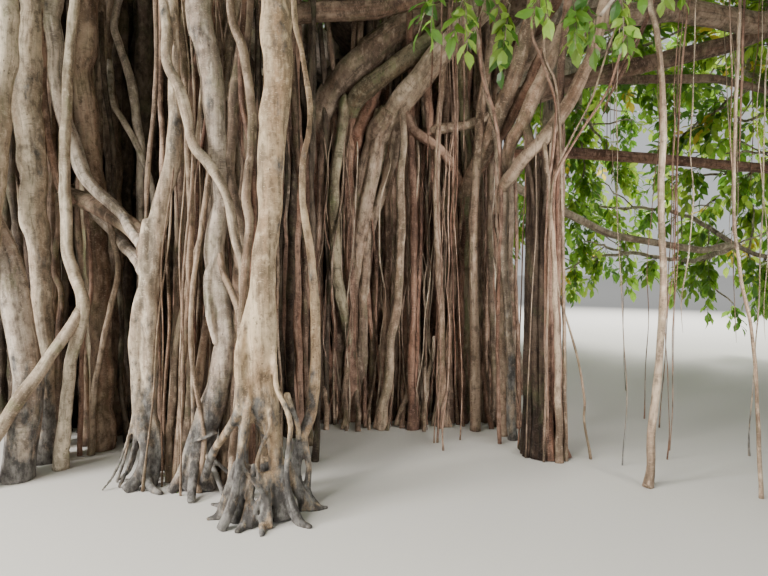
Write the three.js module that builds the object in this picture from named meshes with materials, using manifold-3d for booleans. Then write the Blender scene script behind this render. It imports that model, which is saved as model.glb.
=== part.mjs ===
// Banyan tree: a fluted trunk of fused roots, free root stems, spreading boughs and a broad crown.
// Lengths in the tables are metres and the finished solids are millimetres.
// +X is the viewer's right, +Y is away from the viewer and +Z is up.
// The origin is the middle of the flat cut under the main trunk, at ground level.

import * as THREE from "three";
import { mergeVertices } from "three/addons/utils/BufferGeometryUtils.js";
import Module from "manifold-3d";

const wasm = await Module();
wasm.setup();

// Driving dimensions
const METRE = 1000;
const CLEARANCE = 0.5;
const FORK_HEIGHT = 4.2;
const TRUNK_HALF_WIDTH = 1.2;
const TRUNK_HALF_DEPTH = 0.78;
const LEFT_TRUNK_HALF_WIDTH = 0.8;
const LEFT_TRUNK_HALF_DEPTH = 0.45;
const FLARE_HEIGHT = 0.35;
const FUSED_FLARE = 0.13;
const CROWN_HALF_WIDTH = 6.1;
const CROWN_HALF_DEPTH = 5.5;

// Fineness of the faceted solids
const WELD = 0.001;
const SECTION_RADIUS = 10;
const THICK_LIMB = 0.08;
const THICK_LIMB_SIDES = 7;
const THIN_LIMB_SIDES = 6;
const MASS_DETAIL = 2;

// Lumps of a leaf mass: slow waves and a finer ripple, in turns for each radius, shifted by its seed
const LUMP_DEPTH = 0.14;
const UNDERSIDE_SHARE = 0.8;
const SLOW_WAVE = { alongX: 3.1, alongY: 2.7, alongZ: 1.5, seedX: 2.3, seedY: 1.9, weight: 0.55 };
const RIPPLE = { alongX: 3.7, alongY: 4.7, alongZ: 5.3, seedX: 4.1, seedY: 1.3, weight: 0.8 };

const COLOURS = {
  tan: 0xa08a70,
  grey: 0x8b8172,
  pale: 0xb3a288,
  olive: 0x7d7257,
  red: 0x7c5643,
  dark: 0x5d4a3b,
  leaf: 0x6f9440,
};

function bareGeometry(geometry) {
  geometry.deleteAttribute("normal");
  geometry.deleteAttribute("uv");
  return mergeVertices(geometry, WELD);
}

function solidFrom(geometry) {
  const mesh = new wasm.Mesh({
    numProp: 3,
    vertProperties: geometry.attributes.position.array,
    triVerts: new Uint32Array(geometry.index.array),
  });
  return new wasm.Manifold(mesh);
}

function geometryFrom(solid) {
  const mesh = solid.getMesh();
  const geometry = new THREE.BufferGeometry();
  geometry.setAttribute("position", new THREE.BufferAttribute(mesh.vertProperties, mesh.numProp));
  geometry.setIndex(new THREE.BufferAttribute(mesh.triVerts, 1));
  geometry.computeVertexNormals();
  return geometry;
}

function movePoints(geometry, move) {
  const position = geometry.attributes.position;
  const point = new THREE.Vector3();
  for (let i = 0; i < position.count; i += 1) {
    point.fromBufferAttribute(position, i);
    move(point);
    position.setXYZ(i, point.x, point.y, point.z);
  }
  return geometry;
}

// A limb is a tapering tube along a smooth curve through its route.
// Radii run evenly from start to end, with a flare where the limb stands on the ground.
function limbSolid({ route, radii, flare = 0 }, grow) {
  const curve = new THREE.CatmullRomCurve3(
    route.map(([x, y, z]) => new THREE.Vector3(x, y, z).multiplyScalar(METRE)),
    false,
    "centripetal",
  );
  const isThick = Math.max(...radii) > THICK_LIMB;
  const steps = isThick ? route.length : route.length - 1;
  const sides = isThick ? THICK_LIMB_SIDES : THIN_LIMB_SIDES;
  const section = new THREE.Shape();
  for (let side = 0; side < sides; side += 1) {
    const turn = ((side + 0.5) / sides) * 2 * Math.PI;
    const x = SECTION_RADIUS * Math.cos(turn);
    const y = SECTION_RADIUS * Math.sin(turn);
    if (side === 0) section.moveTo(x, y);
    else section.lineTo(x, y);
  }
  const geometry = bareGeometry(
    new THREE.ExtrudeGeometry(section, { steps, extrudePath: curve, bevelEnabled: false }),
  );
  const rings = curve.getSpacedPoints(steps);
  return solidFrom(movePoints(geometry, (point) => {
    let ring = 0;
    for (let i = 1; i <= steps; i += 1) {
      if (rings[i].distanceToSquared(point) < rings[ring].distanceToSquared(point)) ring = i;
    }
    const height = Math.max(rings[ring].z, 0) / METRE;
    const even = THREE.MathUtils.lerp(radii[0], radii[1], ring / steps);
    const radius = even * (1 + flare * Math.exp(-height / FLARE_HEIGHT)) * METRE + grow;
    point.sub(rings[ring]).multiplyScalar(radius / SECTION_RADIUS).add(rings[ring]);
    if (ring === 0) point.addScaledVector(curve.getTangentAt(0), -grow);
    if (ring === steps) point.addScaledVector(curve.getTangentAt(1), grow);
  }));
}

// A fused trunk is a closed cylinder whose section is fluted by the roots that make it up.
function trunkSolid({ halfWidth, halfDepth, height, foot, top, narrowing, flutes, sides, rings }, grow) {
  const cylinder = new THREE.CylinderGeometry(1, 1, 1, sides, rings);
  const geometry = bareGeometry(cylinder.rotateX(Math.PI / 2));
  return solidFrom(movePoints(geometry, (point) => {
    const up = point.z + 0.5;
    const turn = Math.atan2(point.y, point.x);
    const inner = Math.hypot(point.x, point.y);
    const taper = 1 - narrowing * up;
    const spread = 1 + FUSED_FLARE * Math.exp((-up * height) / FLARE_HEIGHT);
    let relief = 1;
    for (const { count, depth, phase, twist } of flutes) {
      relief += depth * Math.sin(count * turn + phase + twist * up);
    }
    const reach = inner * taper * spread * relief * METRE;
    const x = Math.cos(turn) * (reach * halfWidth + inner * grow);
    const y = Math.sin(turn) * (reach * halfDepth + inner * grow);
    const lift = point.z > 0 ? grow : 0;
    point.set(
      x + THREE.MathUtils.lerp(foot[0], top[0], up) * METRE,
      y + THREE.MathUtils.lerp(foot[1], top[1], up) * METRE,
      up * height * METRE + lift,
    );
  }));
}

// A leaf mass is a ball pressed out of round, with lumps and a flatter underside.
function massSolid({ centre, radii, seed, underside = UNDERSIDE_SHARE }, grow) {
  const geometry = bareGeometry(new THREE.IcosahedronGeometry(1, MASS_DETAIL));
  return solidFrom(movePoints(geometry, (point) => {
    const { x, y, z } = point;
    const waveX = Math.sin(SLOW_WAVE.alongX * x + SLOW_WAVE.seedX * seed);
    const waveY = Math.sin(SLOW_WAVE.alongY * y + SLOW_WAVE.alongZ * z - SLOW_WAVE.seedY * seed);
    const rippleX = Math.sin(RIPPLE.alongZ * z + RIPPLE.alongX * x + RIPPLE.seedX * seed);
    const rippleY = Math.sin(RIPPLE.alongY * y + RIPPLE.seedY * seed);
    const swell = 1 + LUMP_DEPTH * (SLOW_WAVE.weight * (waveX + waveY) + RIPPLE.weight * rippleX * rippleY);
    const below = z < 0 ? underside : 1;
    point.set(
      (centre[0] + x * radii[0] * swell) * METRE + x * grow,
      (centre[1] + y * radii[1] * swell) * METRE + y * grow,
      (centre[2] + z * radii[2] * swell * below) * METRE + z * grow,
    );
  }));
}

const TRUNKS = [
  {
    name: "trunk",
    colour: COLOURS.red,
    halfWidth: TRUNK_HALF_WIDTH,
    halfDepth: TRUNK_HALF_DEPTH,
    height: FORK_HEIGHT,
    foot: [0, 0],
    top: [0.1, 0],
    narrowing: 0.16,
    sides: 28,
    rings: 6,
    flutes: [
      { count: 5, depth: 0.05, phase: 0.4, twist: 0.9 },
      { count: 9, depth: 0.045, phase: 1.7, twist: -0.7 },
      { count: 12, depth: 0.025, phase: 0.2, twist: 0.5 },
    ],
  },
  {
    name: "trunk_left",
    colour: COLOURS.dark,
    halfWidth: LEFT_TRUNK_HALF_WIDTH,
    halfDepth: LEFT_TRUNK_HALF_DEPTH,
    height: FORK_HEIGHT - 0.05,
    foot: [-2.25, -0.75],
    top: [-2.2, -0.5],
    narrowing: 0.22,
    sides: 16,
    rings: 5,
    flutes: [
      { count: 3, depth: 0.06, phase: 0.9, twist: 1.1 },
      { count: 7, depth: 0.06, phase: 0.3, twist: -0.6 },
    ],
  },
];

// Boughs, each from its seat on the trunk to the mass that it carries
const BOUGHS = [
  { name: "bough_top", colour: COLOURS.grey, radii: [0.34, 0.19],
    route: [[0.15, 0.1, 3.9], [0.3, 0.35, 5.4], [0.15, 0.05, 6.9], [0.1, -0.1, 8.3]] },
  { name: "bough_front", colour: COLOURS.tan, radii: [0.25, 0.14],
    route: [[-0.4, -0.4, 3.75], [-0.75, -1.7, 4.3], [-0.97, -3.3, 4.7], [-1.1, -5.3, 5.6]] },
  { name: "bough_front_left", colour: COLOURS.grey, radii: [0.24, 0.14],
    route: [[-0.7, -0.3, 3.7], [-1.9, -1.8, 4.25], [-3.1, -2.7, 4.55], [-4.6, -4.0, 5.5]] },
  { name: "bough_front_right", colour: COLOURS.grey, radii: [0.25, 0.15],
    route: [[0.6, -0.4, 3.8], [1.25, -1.8, 4.45], [1.9, -3.1, 4.85], [3.1, -4.6, 5.6]] },
  { name: "bough_right", colour: COLOURS.grey, radii: [0.27, 0.16],
    route: [[0.7, 0.1, 3.8], [2.1, 0.0, 4.75], [3.6, -0.2, 5.25], [5.2, -0.2, 5.7]] },
  { name: "bough_left", colour: COLOURS.grey, radii: [0.28, 0.17],
    route: [[-0.7, 0.1, 3.7], [-2.4, -0.35, 4.4], [-3.8, -0.2, 5.0], [-5.4, 0.1, 5.6]] },
  { name: "bough_back_left", colour: COLOURS.olive, radii: [0.26, 0.15],
    route: [[-0.5, 0.45, 3.75], [-1.7, 1.9, 4.5], [-2.8, 3.1, 5.0], [-4.1, 4.3, 5.7]] },
  { name: "bough_back", colour: COLOURS.olive, radii: [0.26, 0.15],
    route: [[0.2, 0.5, 3.8], [0.4, 2.2, 4.7], [0.3, 3.8, 5.2], [0.2, 5.2, 5.8]] },
  { name: "bough_back_right", colour: COLOURS.grey, radii: [0.25, 0.15],
    route: [[0.75, 0.4, 3.75], [2.0, 1.7, 4.4], [3.1, 2.9, 5.0], [4.4, 4.0, 5.8]] },
  { name: "bough_diagonal_low", colour: COLOURS.tan, radii: [0.13, 0.1],
    route: [[-0.45, -0.45, 2.35], [-0.42, -1.2, 2.62], [-0.1, -1.55, 3.11], [0.3, -1.65, 3.55],
      [1.15, -1.75, 4.4]] },
  { name: "bough_diagonal_mid", colour: COLOURS.tan, radii: [0.1, 0.085],
    route: [[-0.6, -0.35, 2.65], [-0.72, -1.1, 2.85], [-0.62, -1.38, 3.08], [0.02, -1.5, 3.55],
      [1.05, -1.35, 4.25]] },
  { name: "bough_diagonal_high", colour: COLOURS.olive, radii: [0.11, 0.09],
    route: [[-0.75, -0.3, 2.75], [-0.94, -1.12, 3.04], [-0.5, -1.25, 3.44], [-0.05, -1.2, 3.75],
      [0.8, -0.85, 4.15]] },
  { name: "bough_low_right", colour: COLOURS.grey, radii: [0.125, 0.1],
    route: [[0.3, -0.6, 2.9], [0.96, -1.2, 3.54], [1.79, -1.45, 3.9], [2.75, -1.3, 4.02], [3.7, -1.1, 3.95],
      [5.1, -1.0, 4.6]] },
  { name: "bough_low_right_forked", colour: COLOURS.grey, radii: [0.1, 0.085],
    route: [[0.6, 0.0, 3.35], [1.96, -0.65, 3.6], [2.94, -0.9, 3.75], [3.9, -0.6, 4.1], [5.0, -0.3, 4.7]] },
  { name: "bough_low_right_slim", colour: COLOURS.tan, radii: [0.055, 0.045],
    route: [[0.8, 0.1, 3.3], [2.06, -0.25, 3.68], [3.41, -0.3, 3.7], [4.3, 0.1, 3.75], [5.6, 1.6, 3.9]] },
  { name: "bough_level_right", colour: COLOURS.red, radii: [0.075, 0.062],
    route: [[0.7, 0.2, 2.9], [2.3, 0.2, 2.95], [3.3, 0.15, 2.85], [4.45, 0.3, 2.78], [5.5, 1.5, 3.0]] },
  { name: "bough_drooping_right", colour: COLOURS.pale, radii: [0.065, 0.045],
    route: [[0.6, 0.4, 3.0], [1.91, 1.1, 2.48], [2.86, 1.3, 2.04], [4.3, 1.3, 1.78], [5.5, 1.9, 2.0]] },
  { name: "bough_cross_left", colour: COLOURS.dark, radii: [0.085, 0.07],
    route: [[-2.6, -0.75, 2.35], [-3.1, -1.8, 2.2], [-2.8, -2.28, 2.08], [-2.45, -2.35, 1.98],
      [-2.19, -2.5, 1.81], [-1.93, -2.84, 1.64]] },
];

// Root stems that stand on the ground and rise to the boughs
const STEMS = [
  { name: "stem_front", colour: COLOURS.tan, radii: [0.105, 0.085], flare: 0.9,
    route: [[-0.96, -3.48, -0.2], [-1.03, -3.48, 0.72], [-1.04, -3.48, 1.08], [-0.97, -3.48, 2.0],
      [-0.95, -3.46, 3.12], [-0.97, -3.4, 4.7]] },
  { name: "stem_front_slim", colour: COLOURS.tan, radii: [0.04, 0.036], flare: 0.2,
    route: [[-0.82, -3.16, -0.2], [-0.83, -3.2, 0.3], [-0.73, -3.25, 0.8], [-0.73, -3.28, 1.31],
      [-0.84, -3.28, 2.0], [-0.83, -3.24, 2.75], [-0.93, -2.95, 4.62]] },
  { name: "stem_wavy", colour: COLOURS.grey, radii: [0.085, 0.075], flare: 0.4,
    route: [[-1.63, -3.0, -0.2], [-1.48, -3.0, 0.47], [-1.37, -3.0, 0.92], [-1.46, -3.0, 1.53],
      [-1.42, -3.0, 2.49], [-1.5, -2.97, 3.2], [-0.95, -2.6, 4.55]] },
  { name: "stem_tan", colour: COLOURS.tan, radii: [0.09, 0.05], flare: 0.6,
    route: [[-2.0, -2.92, -0.2], [-1.96, -2.92, 0.71], [-1.93, -2.92, 1.25], [-1.74, -2.9, 2.24],
      [-1.72, -2.88, 2.87], [-2.0, -2.5, 3.7], [-2.3, -2.1, 4.4]] },
  { name: "stem_left_edge", colour: COLOURS.pale, radii: [0.085, 0.06], flare: 0.4,
    route: [[-3.3, -2.95, -0.2], [-3.16, -2.9, 1.0], [-2.98, -2.9, 2.1], [-2.9, -2.88, 3.3],
      [-3.2, -2.8, 4.6]] },
  { name: "stem_left_broad", colour: COLOURS.grey, radii: [0.105, 0.09], flare: 0.4,
    route: [[-3.0, -2.4, -0.2], [-3.03, -2.4, 1.34], [-3.06, -2.4, 2.9], [-3.0, -2.62, 4.5]] },
  { name: "stem_left_pale", colour: COLOURS.pale, radii: [0.052, 0.048], flare: 0.3,
    route: [[-2.72, -2.62, -0.2], [-2.63, -2.62, 0.91], [-2.53, -2.6, 1.25], [-2.67, -2.6, 1.85],
      [-2.68, -2.58, 2.7], [-2.56, -2.5, 3.5], [-2.7, -2.4, 4.45]] },
  { name: "stem_left_grey", colour: COLOURS.olive, radii: [0.08, 0.065], flare: 0.4,
    route: [[-2.7, -2.0, -0.2], [-2.8, -2.0, 1.6], [-2.8, -2.02, 2.6], [-2.7, -2.3, 4.4]] },
  { name: "stem_left_leaning", colour: COLOURS.grey, radii: [0.1, 0.09], flare: 0.3,
    route: [[-2.95, -2.85, -0.2], [-2.83, -2.82, 0.8], [-2.93, -2.8, 1.4], [-3.15, -2.78, 1.95],
      [-3.6, -2.9, 2.9], [-3.9, -3.35, 5.0]] },
  { name: "stem_left_gap", colour: COLOURS.dark, radii: [0.06, 0.05], flare: 0.3,
    route: [[-2.62, -1.65, -0.2], [-2.53, -1.6, 1.22], [-2.51, -1.6, 2.24], [-2.56, -1.6, 2.95],
      [-2.2, -1.95, 4.35]] },
  { name: "stem_middle_front", colour: COLOURS.olive, radii: [0.06, 0.055], flare: 0.3,
    route: [[-0.52, -1.2, -0.2], [-0.61, -1.27, 0.82], [-0.77, -1.36, 1.6], [-0.76, -1.42, 2.3],
      [-0.64, -1.36, 3.15]] },
  { name: "stem_middle_back", colour: COLOURS.olive, radii: [0.075, 0.07], flare: 0.3,
    route: [[-0.78, -1.02, -0.2], [-0.66, -1.16, 0.89], [-0.54, -1.28, 1.63], [-0.42, -1.36, 2.3],
      [-0.28, -1.46, 3.0]] },
  { name: "stem_middle_pale", colour: COLOURS.pale, radii: [0.048, 0.045], flare: 0.3,
    route: [[-0.24, -0.96, -0.2], [-0.2, -1.05, 0.6], [-0.12, -1.25, 1.5], [-0.1, -1.38, 2.3],
      [0.02, -1.58, 3.2]] },
  { name: "stem_middle_slim", colour: COLOURS.tan, radii: [0.045, 0.04], flare: 0.3,
    route: [[0.58, -1.6, -0.2], [0.55, -1.66, 1.2], [0.53, -1.72, 2.2], [0.62, -1.72, 3.2],
      [0.8, -1.72, 4.05]] },
  { name: "stem_right_hanging", colour: COLOURS.tan, radii: [0.026, 0.026], flare: 0.3,
    route: [[1.56, -3.0, -0.2], [1.6, -3.01, 0.72], [1.63, -3.01, 1.47], [1.6, -3.01, 2.52],
      [1.7, -3.1, 4.2]] },
  { name: "stem_strut_grey", colour: COLOURS.grey, radii: [0.085, 0.07],
    route: [[0.4, -0.6, 1.95], [0.56, -1.55, 2.4], [0.8, -1.75, 3.01], [1.0, -1.78, 3.6],
      [1.2, -1.75, 4.5]] },
  { name: "stem_strut_red", colour: COLOURS.red, radii: [0.062, 0.058], flare: 0.3,
    route: [[0.8, -1.98, -0.2], [0.78, -1.96, 1.9], [0.82, -1.97, 2.57], [1.1, -1.98, 3.3],
      [1.5, -2.15, 4.6]] },
  { name: "stem_strut_pale", colour: COLOURS.pale, radii: [0.054, 0.048],
    route: [[0.79, -1.96, 2.12], [0.88, -2.28, 2.43], [1.16, -2.32, 2.78], [1.41, -2.32, 3.35],
      [1.65, -2.5, 4.7]] },
  { name: "stem_right_column", colour: COLOURS.red, radii: [0.14, 0.1], flare: 0.5,
    route: [[1.0, -2.3, -0.2], [1.0, -2.28, 1.26], [1.0, -2.3, 2.1], [1.04, -2.32, 2.62]] },
  { name: "stem_back_left", colour: COLOURS.grey, radii: [0.14, 0.1], flare: 0.5,
    route: [[-2.0, 2.3, -0.2], [-1.9, 2.2, 1.6], [-2.0, 2.25, 3.2], [-2.1, 2.3, 4.7]] },
  { name: "stem_back", colour: COLOURS.olive, radii: [0.16, 0.11], flare: 0.5,
    route: [[0.5, 2.9, -0.2], [0.3, 2.8, 1.5], [0.42, 2.7, 3.2], [0.37, 2.75, 4.9]] },
  { name: "stem_back_right", colour: COLOURS.tan, radii: [0.11, 0.08], flare: 0.5,
    route: [[2.2, 2.2, -0.2], [2.3, 2.1, 1.7], [2.25, 2.15, 3.2], [2.4, 2.15, 4.6]] },
  { name: "stem_side_right", colour: COLOURS.grey, radii: [0.09, 0.07], flare: 0.5,
    route: [[4.3, -1.2, -0.2], [4.4, -1.1, 1.5], [4.3, -1.15, 2.9], [4.25, -1.05, 4.15]] },
  { name: "stem_side_left", colour: COLOURS.grey, radii: [0.13, 0.09], flare: 0.5,
    route: [[-4.2, -0.4, -0.2], [-4.1, -0.2, 1.6], [-4.15, -0.25, 3.3], [-4.1, -0.15, 5.1]] },
];

// The crown is a top, an upper ring, an outer ring and weeping masses below it.
// A ring holds its masses on an ellipse; each has its own size and its own shift off the ellipse.
function ring({ prefix, halfWidth, halfDepth, height, radii, firstTurn, members, seed }) {
  return members.map(({ name, wide = 1, tall = 1, out = 0, up = 0 }, index) => {
    const turn = (firstTurn + (index * 360) / members.length) * THREE.MathUtils.DEG2RAD;
    return {
      name: `${prefix}_${name}`,
      centre: [(halfWidth + out) * Math.cos(turn), (halfDepth + out) * Math.sin(turn), height + up],
      radii: [radii[0] * wide, radii[1] * wide, radii[2] * tall],
      seed: seed + index,
    };
  });
}

const MASSES = [
  { name: "mass_top", centre: [0.25, -0.2, 9.15], radii: [2.6, 2.5, 1.75], seed: 0.4 },
  ...ring({
    prefix: "mass_upper", halfWidth: 3.15, halfDepth: 2.85, height: 7.7, radii: [2.4, 2.35, 1.75],
    firstTurn: 45, seed: 2.2,
    members: [{ name: "back_right", up: 0.2 }, { name: "back_left", wide: 1.05 },
      { name: "front_left", up: -0.2 }, { name: "front_right", wide: 1.04, tall: 1.05 }],
  }),
  ...ring({
    prefix: "mass_outer", halfWidth: CROWN_HALF_WIDTH, halfDepth: CROWN_HALF_DEPTH, height: 5.9,
    radii: [2.45, 2.45, 1.95], firstTurn: 0, seed: 5.7,
    members: [{ name: "right", tall: 1.05 }, { name: "back_right", wide: 1.06, up: -0.1 },
      { name: "back", out: -0.2, tall: 1.1 }, { name: "back_left", wide: 1.08 },
      { name: "left", up: -0.15 }, { name: "front_left", wide: 1.02, up: 0.1 },
      { name: "front", out: 0.05, up: 0.15, tall: 0.92 }, { name: "front_right", wide: 0.98, tall: 1.08 }],
  }),
  { name: "mass_weeping_right", centre: [6.0, 2.5, 3.0], radii: [1.75, 1.65, 2.1], seed: 9.3, underside: 1 },
  { name: "mass_weeping_back", centre: [3.3, 5.2, 3.3], radii: [1.7, 1.4, 2.1], seed: 10.8, underside: 1 },
];

// This mass hangs about a bough, which passes through its top
const MASSES_ABOUT_BOUGHS = [
  { name: "mass_weeping_front", centre: [1.5, -3.55, 3.95], radii: [1.45, 0.85, 1.15], seed: 12.1,
    underside: 0.9 },
];

const EARTH_SIZE = 40 * METRE;
const earth = solidFrom(
  bareGeometry(new THREE.BoxGeometry(EARTH_SIZE, EARTH_SIZE, EARTH_SIZE).translate(0, 0, -EARTH_SIZE / 2)),
);

function largestBody(solid) {
  return solid.decompose().reduce((largest, body) => (body.volume() > largest.volume() ? body : largest));
}

function boxesMeet(one, other) {
  const a = one.boundingBox();
  const b = other.boundingBox();
  return [0, 1, 2].every((axis) => a.min[axis] < b.max[axis] && b.min[axis] < a.max[axis]);
}

function sameForAll(table, makeSolid) {
  return table.map((sizes) => ({ ...sizes, makeSolid }));
}

// A piece gives way to the ones before it in this order, with a hair of clearance
const pieces = [
  ...sameForAll(MASSES, massSolid),
  ...sameForAll(TRUNKS, trunkSolid),
  ...sameForAll(BOUGHS, limbSolid),
  ...sameForAll(MASSES_ABOUT_BOUGHS, massSolid),
  ...sameForAll(STEMS, limbSolid),
];

const banyan = new THREE.Group();
const cutters = [];
for (const piece of pieces) {
  let solid = piece.makeSolid(piece, 0).subtract(earth);
  for (const cutter of cutters) {
    if (boxesMeet(solid, cutter)) solid = solid.subtract(cutter);
  }
  cutters.push(piece.makeSolid(piece, CLEARANCE));
  const isMass = piece.makeSolid === massSolid;
  const material = new THREE.MeshStandardMaterial({
    color: isMass ? COLOURS.leaf : piece.colour,
    roughness: isMass ? 0.6 : 0.85,
    metalness: 0,
    flatShading: true,
  });
  const mesh = new THREE.Mesh(geometryFrom(largestBody(solid)), material);
  mesh.name = piece.name;
  banyan.add(mesh);
}

export default banyan;
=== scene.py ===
# Looks of a banyan tree: bark, roots, limbs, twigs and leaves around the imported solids.
# Lengths are metres. +X is right in the photograph, +Y is away from the viewer and +Z is up.

import math
from types import SimpleNamespace

import bpy
import numpy as np
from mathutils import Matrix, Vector
from mathutils.bvhtree import BVHTree
from mathutils.kdtree import KDTree


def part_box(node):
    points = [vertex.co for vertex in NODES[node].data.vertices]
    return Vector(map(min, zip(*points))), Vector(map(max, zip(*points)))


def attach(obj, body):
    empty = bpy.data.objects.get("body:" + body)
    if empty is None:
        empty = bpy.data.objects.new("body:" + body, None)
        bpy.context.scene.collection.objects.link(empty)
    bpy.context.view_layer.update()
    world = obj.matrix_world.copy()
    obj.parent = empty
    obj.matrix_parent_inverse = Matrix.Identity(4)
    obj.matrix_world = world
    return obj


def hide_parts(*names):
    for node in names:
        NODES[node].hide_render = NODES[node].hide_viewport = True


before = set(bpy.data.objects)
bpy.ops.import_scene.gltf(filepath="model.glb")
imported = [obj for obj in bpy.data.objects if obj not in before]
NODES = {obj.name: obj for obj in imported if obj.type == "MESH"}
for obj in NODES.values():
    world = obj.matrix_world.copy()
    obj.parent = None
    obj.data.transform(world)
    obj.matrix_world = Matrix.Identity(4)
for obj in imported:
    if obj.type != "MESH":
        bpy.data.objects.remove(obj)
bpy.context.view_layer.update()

BODY = "root"
MASSES = sorted(name for name in NODES if name.startswith("mass_"))
BOUGHS = sorted(name for name in NODES if name.startswith("bough_"))
STEMS = sorted(name for name in NODES if name.startswith("stem_"))
UP = np.array([0.0, 0.0, 1.0])
FULL_TURN = 2 * math.pi

# The photograph's viewpoint: a standing eye height, a phone's lens, tilted a little down
EYE = (-0.28, -6.9, 1.5)
LENS_MM = 26.7
TILT_DOWN_DEG = 1.8


def stream(name):
    """A random stream of its own for each piece, the same on every run."""
    return np.random.default_rng(sum((place + 1) * ord(letter) for place, letter in enumerate(name)))


# Meshes


class Gathered:
    """Points and faces gathered for one joined mesh, with bark coordinates and a tone for each point."""

    def __init__(self):
        self.points = []
        self.faces = []
        self.places = []
        self.tones = []
        self.count = 0

    def add(self, points, faces, places=None, tones=0.5):
        points = np.asarray(points, dtype=float).reshape(-1, 3)
        self.points.append(points)
        self.places.append(points if places is None else np.asarray(places, dtype=float).reshape(-1, 3))
        self.tones.append(np.broadcast_to(tones, len(points)).astype(float))
        for some in faces:
            self.faces.append(np.asarray(some, dtype=np.int64) + self.count)
        self.count += len(points)

    def triangles(self):
        return sum(len(some) * (some.shape[1] - 2) for some in self.faces)


def mesh_piece(name, gathered, material, replaced, smooth=True):
    """One Blender object from gathered points, riding on the tree in place of its solids."""
    points = np.concatenate(gathered.points)
    points[:, 2] = np.maximum(points[:, 2], 0.0)
    corners = np.concatenate([some.ravel() for some in gathered.faces])
    sizes = np.concatenate([np.full(len(some), some.shape[1]) for some in gathered.faces])
    mesh = bpy.data.meshes.new(name)
    mesh.vertices.add(len(points))
    mesh.vertices.foreach_set("co", points.ravel())
    mesh.loops.add(len(corners))
    mesh.loops.foreach_set("vertex_index", corners)
    mesh.polygons.add(len(sizes))
    mesh.polygons.foreach_set("loop_start", np.concatenate(([0], np.cumsum(sizes)[:-1])))
    mesh.polygons.foreach_set("use_smooth", np.full(len(sizes), smooth))
    mesh.update(calc_edges=True)
    places = mesh.attributes.new("bark_place", "FLOAT_VECTOR", "POINT")
    places.data.foreach_set("vector", np.concatenate(gathered.places).ravel())
    tones = mesh.attributes.new("tone", "FLOAT", "POINT")
    tones.data.foreach_set("value", np.concatenate(gathered.tones))
    mesh.materials.append(material)
    piece = bpy.data.objects.new(name, mesh)
    bpy.context.scene.collection.objects.link(piece)
    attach(piece, BODY)
    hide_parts(*replaced)
    print(name, gathered.triangles(), "triangles")
    return piece


def smooth_path(knots, spacing):
    """Points a given distance apart on a smooth curve through the knots."""
    knots = np.asarray(knots, dtype=float)
    padded = np.vstack([2 * knots[0] - knots[1], knots, 2 * knots[-1] - knots[-2]])
    t = np.linspace(0, 1, 13)[:-1, None]
    spans = []
    for a, b, c, d in zip(padded[:-3], padded[1:-2], padded[2:-1], padded[3:]):
        spans.append(0.5 * (2 * b + (c - a) * t + (2 * a - 5 * b + 4 * c - d) * t**2
                            + (3 * b - a - 3 * c + d) * t**3))
    curve = np.vstack([*spans, knots[-1:]])
    return evenly(curve, max(3, int(round(length_of(curve) / spacing)) + 1))


def length_of(path):
    return float(np.linalg.norm(np.diff(path, axis=0), axis=1).sum())


def distances(path):
    return np.concatenate(([0], np.cumsum(np.linalg.norm(np.diff(path, axis=0), axis=1))))


def evenly(path, count):
    along = distances(path)
    wanted = np.linspace(0, along[-1], count)
    return np.stack([np.interp(wanted, along, path[:, axis]) for axis in range(3)], axis=1)


def unit(vectors):
    return vectors / np.maximum(np.linalg.norm(vectors, axis=-1, keepdims=True), 1e-9)


def sway(rng, along, wavelength, amount):
    """A smooth seeded wandering value at each distance along a path."""
    value = np.zeros_like(along)
    for shorter in (1.0, 0.57, 0.31):
        value += shorter * np.sin(FULL_TURN * along / (wavelength * shorter) + rng.uniform(0, FULL_TURN))
    return amount * value


def frames_along(paths):
    """The directions across and beside each path at each of its points, with no twist."""
    ahead = unit(np.gradient(paths, axis=1))
    least = np.abs(ahead.mean(axis=1)).argmin(axis=1)
    reference = np.eye(3)[least][:, None, :]
    across = unit(reference - ahead * (ahead * reference).sum(axis=2, keepdims=True))
    return across, np.cross(ahead, across)


def tube_faces(many, steps, sides):
    """Quads and end triangles of closed tubes. A tube's points are its rings, then its two end centres."""
    ring = np.arange(sides)
    following = (ring + 1) % sides
    row = (np.arange(steps - 1) * sides)[:, None]
    quads = np.stack([row + ring, row + following, row + sides + following, row + sides + ring], axis=2)
    last = (steps - 1) * sides
    centre = steps * sides
    caps = np.concatenate([
        np.stack([np.full(sides, centre), following, ring], axis=1),
        np.stack([np.full(sides, centre + 1), last + ring, last + following], axis=1),
    ])
    offsets = (np.arange(many) * (centre + 2))[:, None, None]
    return [(some[None] + offsets).reshape(-1, some.shape[1]) for some in (quads.reshape(-1, 4), caps)]


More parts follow.
